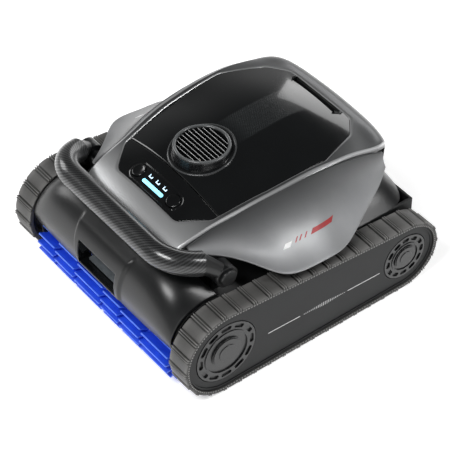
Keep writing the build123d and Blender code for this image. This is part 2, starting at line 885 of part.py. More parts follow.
waist_top = [(88, -150), (96, -107), (104, -62), (111, -16), (115, 34), (117, 90), (116, 145),
             (110, 176), (92, 190), (50, 195)]
waist_foot = [(158, -150), (158, -107), (158, -62), (158, -16), (158, 34), (158, 90),
              (158, 150), (152, 186), (124, 204), (60, 208)]
waist_levels = ((1.0, 118), (0.52, 133), (0.22, 150), (0.06, 170), (0.0, 190), (0.0, 232))


def waist(inward):
    # Level outlines that draw in from the foot to the top, lofted
    with BuildPart() as body:
        for share, level in waist_levels:
            right = []
            for (xt, yt), (xf, yf) in zip(waist_top, waist_foot):
                x = sx(xt) + share * (body_half - 1 + sx(xf - 158) - sx(xt))
                y = sy(yt + share * (yf - yt))
                right.append((x - inward, y - inward * (yt > 150)))
            around = right + [(-x, y) for x, y in reversed(right)]
            z = tub_top + sz(level - 118)
            with BuildSketch(Plane.XY.offset(z)):
                with BuildLine():
                    Spline(*around)
                    Line(around[-1], around[0])
                make_face()
        loft()
    return body.part


def over_skin(lines, depth, bottom):
    # All that lies above a lowered skin
    half = lines[-1][0]
    room = box_at(-half, half, -length, length, bottom, above)
    return room - under_skin(lines, depth, frame_floor - 90)


waist_cut = sz(172)
pivot_y = sy(-121)
pivot_z = sz(164)
post_inner = sx(127)
basket_front = sy(8)
with BuildPart() as upper_body:
    add(waist(0))
    add(waist(wall), mode=Mode.SUBTRACT)
    add(box_at(-width, width, -length, sy(-146), 0, above), mode=Mode.SUBTRACT)
    add(over_skin(frame_lines, wall + 0.4, waist_cut), mode=Mode.SUBTRACT)
    add(over_skin(lid_lines, wall + 3.2, waist_cut), mode=Mode.SUBTRACT)
    add(tub.part, mode=Mode.SUBTRACT)
    for side in (-1, 1):
        middle = side * (post_inner + handle_post_width / 2)
        with BuildSketch(Plane.YZ.offset(middle)):
            with BuildLine():
                Polyline((pivot_y - 9, tub_top), (pivot_y - 9, pivot_z), (pivot_y + 9, pivot_z),
                         (pivot_y + 12, tub_top), close=True)
            make_face()
            with Locations((pivot_y, pivot_z)):
                Circle(9)
                Circle(pin_radius, mode=Mode.SUBTRACT)
        extrude(amount=handle_post_width / 2, both=True)
finish(upper_body.part, "upper_body")

# --- Handle: a straight grip with bent ends, two arms and the pins they turn on ---

grip_y = sy(-189)
grip_z = sz(199)
arm_y = sy(-147)
arm_z = sz(188)
arm_x = sx(140)
grip_tilt = atan2(grip_z - arm_z, arm_y - grip_y)
grip_plane = Plane(
    origin=(0, grip_y, grip_z), x_dir=(1, 0, 0), z_dir=(0, sin(grip_tilt), cos(grip_tilt))
)
grip_turn = 70 * pi / 180
grip_reach = (arm_y - grip_y) / cos(grip_tilt)
tail = (grip_reach - grip_bend * (1 - cos(grip_turn))) / sin(grip_turn)
grip_half = arm_x - grip_bend * sin(grip_turn) - tail * cos(grip_turn)
with BuildPart() as grip:
    with BuildLine(grip_plane) as grip_path:
        bend_end = (grip_half + grip_bend * sin(grip_turn), grip_bend * (1 - cos(grip_turn)))
        bend_mid = (
            grip_half + grip_bend * sin(grip_turn / 2),
            grip_bend * (1 - cos(grip_turn / 2)),
        )
        tip = (arm_x, grip_reach)
        Line((-tip[0], tip[1]), (-bend_end[0], bend_end[1]))
        ThreePointArc((-bend_end[0], bend_end[1]), (-bend_mid[0], bend_mid[1]), (-grip_half, 0))
        Line((-grip_half, 0), (grip_half, 0))
        ThreePointArc((grip_half, 0), bend_mid, bend_end)
        Line(bend_end, tip)
    with BuildSketch(Plane(origin=grip_path.line @ 0, z_dir=grip_path.line % 0)):
        Circle(grip_radius)
    sweep()
finish(grip.part, "handle_grip")

eye_inner = post_inner + handle_post_width + 1.0
eye_outer = body_half + 2.0
arm_end = Vector(arm_x, arm_y, arm_z)
grip_end_dir = grip_path.line % 1
with BuildPart() as arm:
    with BuildSketch(Plane(origin=arm_end, z_dir=grip_end_dir)):
        Circle(grip_radius - 1.5)
    with BuildSketch(Plane(
        origin=((eye_inner + eye_outer) / 2, pivot_y - 7, pivot_z + 8), z_dir=(0.1, 0.7, -0.7)
    )):
        Circle(eye_radius - 5)
    loft()
    with BuildSketch(Plane.YZ.offset(eye_inner)):
        with Locations((pivot_y, pivot_z)):
            Circle(eye_radius)
    extrude(amount=eye_outer - eye_inner)
    with BuildSketch(Plane.YZ.offset(eye_inner)):
        with Locations((pivot_y, pivot_z)):
            Circle(pin_radius + bore_gap)
    extrude(amount=eye_outer - eye_inner, mode=Mode.SUBTRACT)
    add(box_at(0, eye_inner, pivot_y - 16, pivot_y + 20, 0, pivot_z + 16), mode=Mode.SUBTRACT)
    add(box_at(eye_outer, width, pivot_y - 40, pivot_y + 20, 0, height), mode=Mode.SUBTRACT)
finish(Compound([arm.part, mirrored(arm.part)]), "handle_arms")

with BuildPart() as pin:
    with BuildSketch(Plane.YZ.offset(post_inner)):
        with Locations((pivot_y, pivot_z)):
            Circle(pin_radius)
    extrude(amount=eye_outer - post_inner + 0.5)
    with BuildSketch(Plane.YZ.offset(eye_outer + 0.5)):
        with Locations((pivot_y, pivot_z)):
            Circle(eye_radius - 4)
    extrude(amount=4)
    fillet(pin.edges().group_by(Axis.X)[-1], 1.5)
finish(Compound([pin.part, mirrored(pin.part)]), "handle_pins")

# --- Lid, its grille and hinge ---

seam_y = sy(-87)
grille_y = sy(-39.6)
hinge_y = sy(-108)
hinge_z = sz(203.8)
notch_half = sx(48)
notch_front = sy(151)
hinge_gap = 1.2

lip_depth = 4.0
with BuildPart() as lip_cut:
    add(under_skin(lid_lines, lip_thickness, frame_floor - 5))
    add(box_at(-width, width, seam_y - 1, seam_y + lip_depth, 0, above), mode=Mode.INTERSECT)

with BuildPart() as lid:
    add(lid_over)
    add(lid_under, mode=Mode.SUBTRACT)
    add(opening_prism(seam), mode=Mode.INTERSECT)
    add(box_at(-width, width, -length, seam_y, 0, above), mode=Mode.SUBTRACT)
    add(lip_cut.part, mode=Mode.SUBTRACT)
    with BuildSketch(Plane.XY.offset(frame_floor)):
        with Locations((0, grille_y)):
            Circle(ring_radius - ring_wall + 1)
    extrude(amount=above - frame_floor, mode=Mode.SUBTRACT)
    with BuildSketch(Plane.XY.offset(frame_floor)):
        with Locations((0, notch_front + 30)):
            RectangleRounded(2 * notch_half, 60, 7)
    extrude(amount=above - frame_floor, mode=Mode.SUBTRACT)
finish(lid.part, "lid")

base_ring_rise = 2.2
with BuildPart() as base_ring:
    with BuildSketch(Plane.XY.offset(frame_floor)):
        with Locations((0, grille_y)):
            Circle(base_ring_radius)
    extrude(amount=height - frame_floor)
    add(under_skin(lid_lines, -base_ring_rise, frame_floor), mode=Mode.INTERSECT)

with BuildPart() as ring:
    with BuildSketch(Plane.XY.offset(frame_floor)):
        with Locations((0, grille_y)):
            Circle(ring_radius)
    extrude(amount=height - frame_floor)
    chamfer(ring.edges().group_by(Axis.Z)[-1], 1.6)
    add(base_ring.part)
    add(lid_over, mode=Mode.SUBTRACT)
    with BuildSketch(Plane.XY.offset(frame_floor)):
        with Locations((0, grille_y)):
            Circle(ring_radius - ring_wall)
    extrude(amount=height - frame_floor, mode=Mode.SUBTRACT)
finish(ring.part, "grille_ring")

slat_radius = ring_radius - ring_wall
slat_pitch = 2 * slat_radius / (slat_count + 1)
slat_thickness = 2.0
with BuildPart() as slats:
    with BuildSketch(Plane.XY.offset(height - 9)):
        with Locations((0, grille_y)):
            Circle(slat_radius)
            Circle(slat_radius - 2, mode=Mode.SUBTRACT)
    extrude(amount=6.5)
    with BuildSketch(Plane.XY.offset(height - 7.5)):
        with Locations((0, grille_y)):
            Circle(slat_radius - 1)
    extrude(amount=5)
    with BuildSketch(Plane.XY.offset(height - 7.5)):
        with Locations((0, grille_y)):
            for gap in range(slat_count + 1):
                across = (gap - slat_count / 2) * slat_pitch
                half_run = max((slat_radius - 2) ** 2 - (abs(across) + slat_pitch / 2) ** 2, 60) ** 0.5
                with Locations((0, across)):
                    Rectangle(2 * half_run, slat_pitch - slat_thickness)
    extrude(amount=5, mode=Mode.SUBTRACT)
finish(slats.part, "grille_slats")

arm_half = 3.0
arm_places = (-15.0, 15.0)
with BuildPart() as hinge_arm:
    for x in arm_places:
        with BuildSketch(Plane.YZ.offset(x)):
            with BuildLine():
                Polyline((0, 0), (15, -17), (25, -15), (29.5, -6), (29.5, 14))
            trace(line_width=3.2)
            with Locations((0, 0)):
                Circle(3.4)
                Circle(hinge_pin_radius + 0.2, mode=Mode.SUBTRACT)
        extrude(amount=arm_half, both=True)
hinge_arms = Pos(0, hinge_y, hinge_z) * hinge_arm.part
hinge_arms = hinge_arms - (lid_over - under_skin(lid_lines, wall, frame_floor - 90))
finish(hinge_arms, "hinge_arms")

beam_half = sx(92)
beam_z = hinge_z - 32
with BuildPart() as bracket:
    with BuildSketch(Plane.XY.offset(beam_z)):
        with Locations((0, hinge_y)):
            Rectangle(2 * beam_half, 9)
    extrude(amount=4)
    for side in (-1, 1):
        with BuildSketch(Plane.YZ.offset(side * 21)):
            with Locations((hinge_y, (beam_z + hinge_z) / 2)):
                Rectangle(7, hinge_z - beam_z)
            with Locations((hinge_y, hinge_z)):
                Circle(3.5)
        extrude(amount=2, both=True)
        with BuildSketch(Plane.YZ.offset(side * 15.5)):
            with Locations((hinge_y, hinge_z)):
                Circle(hinge_pin_radius)
        extrude(amount=4.5, both=True)
finish(bracket.part, "hinge_bracket")

# --- Seal under the gap round the lid, and the scoop behind the finger notch ---

scoop_half = notch_half + 4
scoop_front = notch_front - 4
scoop_rear = sy(165)
scoop_depth = 16.0
scoop_top = sz(214)
with BuildPart() as scoop:
    add(box_at(-scoop_half, scoop_half, scoop_front, scoop_rear, scoop_top - scoop_depth, sz(232)))
    add(box_at(-scoop_half + 2, scoop_half - 2, scoop_front + 2, scoop_rear - 2,
               scoop_top - scoop_depth + 2, sz(233)), mode=Mode.SUBTRACT)
    add(under_skin(lid_lines, wall + 0.6, frame_floor - 90), mode=Mode.INTERSECT)
    add(frame_shell.part, mode=Mode.SUBTRACT)
finish(scoop.part, "finger_scoop")

with BuildPart() as seal:
    add(under_skin(lid_lines, wall + 0.5, frame_floor - 90))
    add(under_skin(lid_lines, wall + 2.5, frame_floor - 95), mode=Mode.SUBTRACT)
    add(opening_prism(-2.5), mode=Mode.INTERSECT)
    add(opening_prism(4), mode=Mode.SUBTRACT)
    add(box_at(-width, width, -length, seam_y + 6, 0, above), mode=Mode.SUBTRACT)
    add(frame_shell.part, mode=Mode.SUBTRACT)
    add(box_at(-scoop_half - 1, scoop_half + 1, scoop_front - 1, length, 0, above), mode=Mode.SUBTRACT)
finish(seal.part, "lid_seal")

# --- Control panel in front of the lid, with buttons and lights ---

button_x = sx(38.5)
button_y = sy(-117)
button_z = sz(207.0)
button_tilt = (0.09, -0.33, 0.94)
button_plane = Plane(origin=(button_x, button_y, button_z), x_dir=(1, 0, -0.0957), z_dir=button_tilt)
bar_length = 44.0
bar_width = 5.2
icon_y = sy(-113)
light_depth = 1.6
icon_places = [(sx(x), icon_y) for x in (-15.6, 0, 15.6)]

with BuildPart() as light_prism:
    with BuildSketch(Plane.XY.offset(frame_floor)):
        with Locations((0, sy(-122.5))):
            SlotOverall(bar_length, bar_width)
        with Locations(*icon_places):
            Rectangle(6.4, 4.2)
            with Locations((0, 1.0)):
                Rectangle(4.0, 2.4, mode=Mode.SUBTRACT)
    extrude(amount=above - frame_floor)
lid_lowered = under_skin(lid_lines, light_depth, frame_floor - 5)
with BuildPart() as lights:
    add(lid_over)
    add(lid_lowered, mode=Mode.SUBTRACT)
    add(light_prism.part, mode=Mode.INTERSECT)

with BuildPart() as button_hole:
    with BuildSketch(button_plane.offset(-12)):
        Circle(button_radius + 0.5)
    extrude(amount=24)

with BuildPart() as panel:
    add(lid_over)
    add(lid_under, mode=Mode.SUBTRACT)
    add(opening_prism(seam * 0.4), mode=Mode.INTERSECT)
    add(box_at(-width, width, seam_y - hinge_gap, length, 0, above), mode=Mode.SUBTRACT)
    add(lights.part, mode=Mode.SUBTRACT)
    add(button_hole.part, mode=Mode.SUBTRACT)
    add(mirrored(button_hole.part), mode=Mode.SUBTRACT)
finish(panel.part, "control_panel")
finish(lights.part, "panel_lights")

with BuildPart() as button:
    with BuildSketch(button_plane.offset(-3)):
        Circle(button_radius)
    extrude(amount=3.4)
    fillet(button.edges().sort_by(Axis.Z)[-1], 0.6)
finish(button.part, "button_right")
finish(mirrored(button.part), "button_left")

with BuildPart() as board:
    with BuildSketch(Plane.XY.offset(beam_z - 9)):
        with Locations((0, sy(-114))):
            Rectangle(sx(130), 44)
    extrude(amount=1.6)
    with BuildSketch(Plane.XY.offset(beam_z - 7.4)):
        with Locations((0, sy(-114))):
            with GridLocations(30, 22, 4, 2):
                Rectangle(10, 8)
    extrude(amount=3)
finish(board.part, "control_board")

# --- Pump: a sealed motor on the tub's floor, an impeller and the duct round it ---

tub_floor = clearance_under + tub_wall
pump_radius = 27.0
duct_bottom = sz(150)
duct_top = sz(202)
impeller_low = sz(172)
impeller_height = 14.0
impeller_hub = 9.0
blade_count = 5
pump_shaft = 4.0
with BuildPart() as pump:
    with BuildSketch(Plane.XY.offset(tub_floor)):
        with Locations((0, grille_y)):
            Circle(pump_radius)
    extrude(amount=duct_bottom - tub_floor)
    fillet(pump.edges().group_by(Axis.Z)[-1], 4)
    with BuildSketch(Plane.XY.offset(duct_bottom)):
        with Locations((0, grille_y)):
            Circle(pump_shaft)
    extrude(amount=impeller_low + impeller_height - duct_bottom)
finish(pump.part, "pump_motor")

with BuildPart() as impeller:
    with BuildSketch(Plane.XY.offset(impeller_low)):
        with Locations((0, grille_y)):
            Circle(impeller_hub)
            with PolarLocations(impeller_radius / 2 + 2, blade_count):
                Rectangle(impeller_radius - 5, 3, rotation=20)
            Circle(pump_shaft + bore_gap, mode=Mode.SUBTRACT)
    extrude(amount=impeller_height)
    with BuildSketch(Plane.XY.offset(impeller_low + impeller_height + 0.5)):
        with Locations((0, grille_y)):
            Circle(impeller_hub)
    extrude(amount=4, taper=20)
    with BuildSketch(Plane.XY.offset(impeller_low + impeller_height)):
        with Locations((0, grille_y)):
            Circle(impeller_hub)
            Circle(pump_shaft + bore_gap, mode=Mode.SUBTRACT)
    extrude(amount=0.5)
finish(impeller.part, "impeller")

with BuildPart() as duct:
    with BuildSketch(Plane.XY.offset(duct_bottom)):
        with Locations((0, grille_y)):
            Circle(duct_radius)
            Circle(duct_radius - 3, mode=Mode.SUBTRACT)
    extrude(amount=duct_top - duct_bottom)
    with BuildSketch(Plane.XY.offset(duct_bottom)):
        with Locations((0, grille_y)):
            with PolarLocations((duct_radius + pump_radius) / 2 - 6, 4):
                Rectangle(duct_radius - 8, 4)
            Circle(8, mode=Mode.SUBTRACT)
    extrude(amount=6)
finish(duct.part, "impeller_duct")

# --- Filter basket with its mesh, over the suction inlet ---

basket_half = sx(84)
basket_rear = sy(140)
basket_top = sz(196)
basket_middle = (basket_front + basket_rear) / 2
basket_depth = basket_rear - basket_front
basket_low = tub_floor + 0.5
rim = 3.0


def basket_box(inward, bottom, top, radius):
    # An upright box with round corners, smaller than the basket by a given amount all round
    with BuildPart() as block:
        with BuildSketch(Plane.XY.offset(bottom)):
            with Locations((0, basket_middle)):
                RectangleRounded(2 * (basket_half - inward), basket_depth - 2 * inward, radius)
        extrude(amount=top - bottom)
    return block.part


window_low = basket_low + 24
window_high = basket_top - 14
window_height = window_high - window_low
throat_top = basket_low + throat_height
with BuildPart() as basket:
    add(basket_box(0, basket_low, basket_top, 16))
    add(basket_box(basket_wall, basket_low + basket_wall, basket_top + 1, 14), mode=Mode.SUBTRACT)
    with BuildSketch(Plane.YZ.offset(-width / 2)):
        with Locations((basket_middle, (window_low + window_high) / 2)):
            with GridLocations(basket_depth * 0.29, 0, 3, 1):
                RectangleRounded(basket_depth * 0.23, window_height, 5)
    extrude(amount=width, mode=Mode.SUBTRACT)
    with BuildSketch(Plane.XZ.offset(-basket_rear - 10)):
        with Locations((0, (window_low + window_high) / 2)):
            with GridLocations(basket_half * 0.42, 0, 4, 1):
                RectangleRounded(basket_half * 0.34, window_height, 5)
    extrude(amount=basket_depth + 20, mode=Mode.SUBTRACT)
    with BuildSketch(Plane.XY.offset(basket_low)):
        with Locations((0, throat_y)):
            RectangleRounded(throat_width + 2 * basket_wall, throat_depth + 2 * basket_wall, 9)
    extrude(amount=throat_height)
    with BuildSketch(Plane.XY.offset(basket_low)):
        with Locations((0, throat_y)):
            RectangleRounded(throat_width, throat_depth, 8)
    extrude(amount=throat_height, mode=Mode.SUBTRACT)
    add(basket_box(-rim, basket_top - rim, basket_top, 18))
    add(basket_box(basket_wall, basket_top - rim - 1, basket_top + 1, 14), mode=Mode.SUBTRACT)
finish(basket.part, "filter_basket")

with BuildPart() as mesh:
    add(basket_box(basket_wall, window_low - 6, window_high + 4, 14))
    add(basket_box(basket_wall + mesh_thickness, window_low - 7, window_high + 5, 13),
        mode=Mode.SUBTRACT)
finish(mesh.part, "filter_mesh")

flap_thickness = 2.0
flap_length = throat_depth + 2 * basket_wall
flap_gap = 0.4
with BuildPart() as flap:
    with BuildSketch(Plane.XY.offset(throat_top + flap_gap)):
        with Locations((0, throat_y)):
            Rectangle(throat_width + 2, flap_length)
    extrude(amount=flap_thickness)
    with BuildSketch(Plane.YZ.offset(-throat_width / 2)):
        with Locations((throat_y + flap_length / 2, throat_top + flap_gap + flap_thickness / 2 + 1)):
            Circle(2.2)
    extrude(amount=throat_width)
finish(flap.part, "inlet_flap")

# --- Battery packs beside the pump, and the charging contacts at the rear ---

battery_inner = pump_radius + 12
battery_outer = cheek_inner - 3
battery_height = 58.0
with BuildPart() as battery:
    with BuildSketch(Plane.XY.offset(tub_floor)):
        with Locations(((battery_inner + battery_outer) / 2, (tub_front + basket_front) / 2)):
            RectangleRounded(battery_outer - battery_inner, (basket_front - tub_front) * 0.72, 8)
    extrude(amount=battery_height)
    fillet(battery.edges().group_by(Axis.Z)[-1], 3)
finish(Compound([battery.part, mirrored(battery.part)]), "battery_packs")

with BuildPart() as contacts:
    with BuildSketch(Plane.XZ.offset(-tub_rear)):
        with Locations((0, (clearance_under + tub_top) / 2 + 6)):
            with GridLocations(24, 0, 2, 1):
                Circle(5)
    extrude(amount=-1.2)
finish(contacts.part, "charge_contacts")

print("length", round(length, 2), "grip half run", round(grip_half, 1))
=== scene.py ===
import math
import bpy
import numpy as np
from mathutils import Matrix, Vector


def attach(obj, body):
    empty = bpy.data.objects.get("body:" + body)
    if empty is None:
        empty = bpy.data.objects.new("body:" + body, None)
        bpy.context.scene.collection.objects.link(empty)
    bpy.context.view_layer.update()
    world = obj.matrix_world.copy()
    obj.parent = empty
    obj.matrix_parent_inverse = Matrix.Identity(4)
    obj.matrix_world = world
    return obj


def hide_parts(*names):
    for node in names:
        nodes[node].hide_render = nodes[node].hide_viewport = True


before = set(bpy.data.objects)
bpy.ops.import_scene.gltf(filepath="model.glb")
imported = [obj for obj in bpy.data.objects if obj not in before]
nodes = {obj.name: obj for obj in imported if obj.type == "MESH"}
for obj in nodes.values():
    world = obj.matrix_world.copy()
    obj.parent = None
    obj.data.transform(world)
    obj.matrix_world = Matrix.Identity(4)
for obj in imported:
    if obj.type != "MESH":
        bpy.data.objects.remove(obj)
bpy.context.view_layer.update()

mm = 0.001
print("frame loaded with", len(nodes), "CAD nodes")


def linearColour(hexColour):
    # sRGB hex to linear light
    channels = [int(hexColour[i:i + 2], 16) / 255 for i in (1, 3, 5)]
    return [c / 12.92 if c <= 0.04045 else ((c + 0.055) / 1.055) ** 2.4 for c in channels] + [1.0]


def addNode(tree, kind, settings=None, inputs=None):
    node = tree.nodes.new(kind)
    for key, value in (settings or {}).items():
        setattr(node, key, value)
    for key, value in (inputs or {}).items():
        if isinstance(value, bpy.types.NodeSocket):
            tree.links.new(value, node.inputs[key])
        else:
            node.inputs[key].default_value = value
    return node


def maths(tree, operation, *values):
    return addNode(tree, "ShaderNodeMath", {"operation": operation}, dict(enumerate(values))).outputs[0]


def remap(tree, value, fromRange, toRange=(0.0, 1.0)):
    # a straight-line change of range, held at both ends
    return addNode(tree, "ShaderNodeMapRange", None, {
        "Value": value, "From Min": fromRange[0], "From Max": fromRange[1],
        "To Min": toRange[0], "To Max": toRange[1]}).outputs[0]


def mixColour(tree, share, first, second, blend="MIX"):
    return addNode(tree, "ShaderNodeMix", {"data_type": "RGBA", "blend_type": blend}, {
        0: share, 6: first, 7: second}).outputs[2]


def noise(tree, place, size, detail, roughness=0.5):
    # size is the largest feature's, in millimetres
    return addNode(tree, "ShaderNodeTexNoise", None, {
        "Vector": place, "Scale": 1 / (size * mm), "Detail": detail, "Roughness": roughness}).outputs


def startMaterial(name):
    material = bpy.data.materials.new(name)
    material.use_nodes = True
    material.node_tree.nodes.clear()
    return material, material.node_tree


def closeMaterial(tree, colour, roughness, normal, look):
    # fixed values go on the shader's own sockets
    inputs = {
        "Base Color": colour, "Roughness": roughness, "Normal": normal,
        "Metallic": look.get("metallic", 0.0),
        "Coat Weight": look.get("coat", 0.0), "Coat Roughness": look.get("coatRough", 0.1),
        "Sheen Weight": look.get("sheen", 0.0), "Sheen Roughness": 0.4,
        "Subsurface Weight": look.get("soft", 0.0), "Subsurface Scale": 2 * mm,
    }
    if not look.get("metallic"):
        inputs["IOR"] = look.get("ior", 1.5)
    if "glow" in look:
        inputs["Emission Color"] = linearColour(look["glow"])
        inputs["Emission Strength"] = look["glowPower"]
    shader = addNode(tree, "ShaderNodeBsdfPrincipled", None, inputs)
    addNode(tree, "ShaderNodeOutputMaterial", None, {"Surface": shader.outputs[0]})


def makeFinish(look):
    # two close shades in soft blotches, a fine grain that is both relief and gloss change,
    # thin scuffs drawn out along the machine, and a painted highlight (on the wings a painted shade) mixed in
    # where the piece says so
    material, tree = startMaterial(look["name"])
    place = addNode(tree, "ShaderNodeTexCoord").outputs["Object"]
    shade = remap(tree, noise(tree, place, look["blotch"], 4.0, 0.55)[0], (0.32, 0.68))
    colour = mixColour(tree, shade, linearColour(look["dark"]), linearColour(look["light"]))
    grain = noise(tree, place, look["grain"], 3.0, 0.6)[0]
    stretched = addNode(tree, "ShaderNodeMapping", None, {
        "Vector": place, "Rotation": (0.0, 0.3, 0.5), "Scale": (1.0, 0.06, 1.0)}).outputs[0]
    scuff = noise(tree, stretched, look.get("scuff", 3.0), 5.0)[0]
    marks = remap(tree, scuff, (0.62, 0.78), (0.0, look.get("scuffs", 0.12)))
    colour = mixColour(tree, marks, colour, linearColour(look.get("worn", look["light"])))
    # painted light and shade: a second colour mixed in by the piece's own per-point share
    if "paintedLightShadeColour" in look:
        paintedLightShade = addNode(tree, "ShaderNodeAttribute", {"attribute_name": "paintedLightShade"}).outputs["Fac"]
        colour = mixColour(tree, paintedLightShade, colour, linearColour(look["paintedLightShadeColour"]))
    roughness = maths(tree, "ADD", remap(tree, grain, (0.3, 0.7), look["rough"]), marks)
    relief = addNode(tree, "ShaderNodeBump", None, {
        "Strength": look.get("strength", 0.4), "Distance": look["relief"] * mm, "Height": grain})
    closeMaterial(tree, colour, roughness, relief.outputs[0], look)
    return material


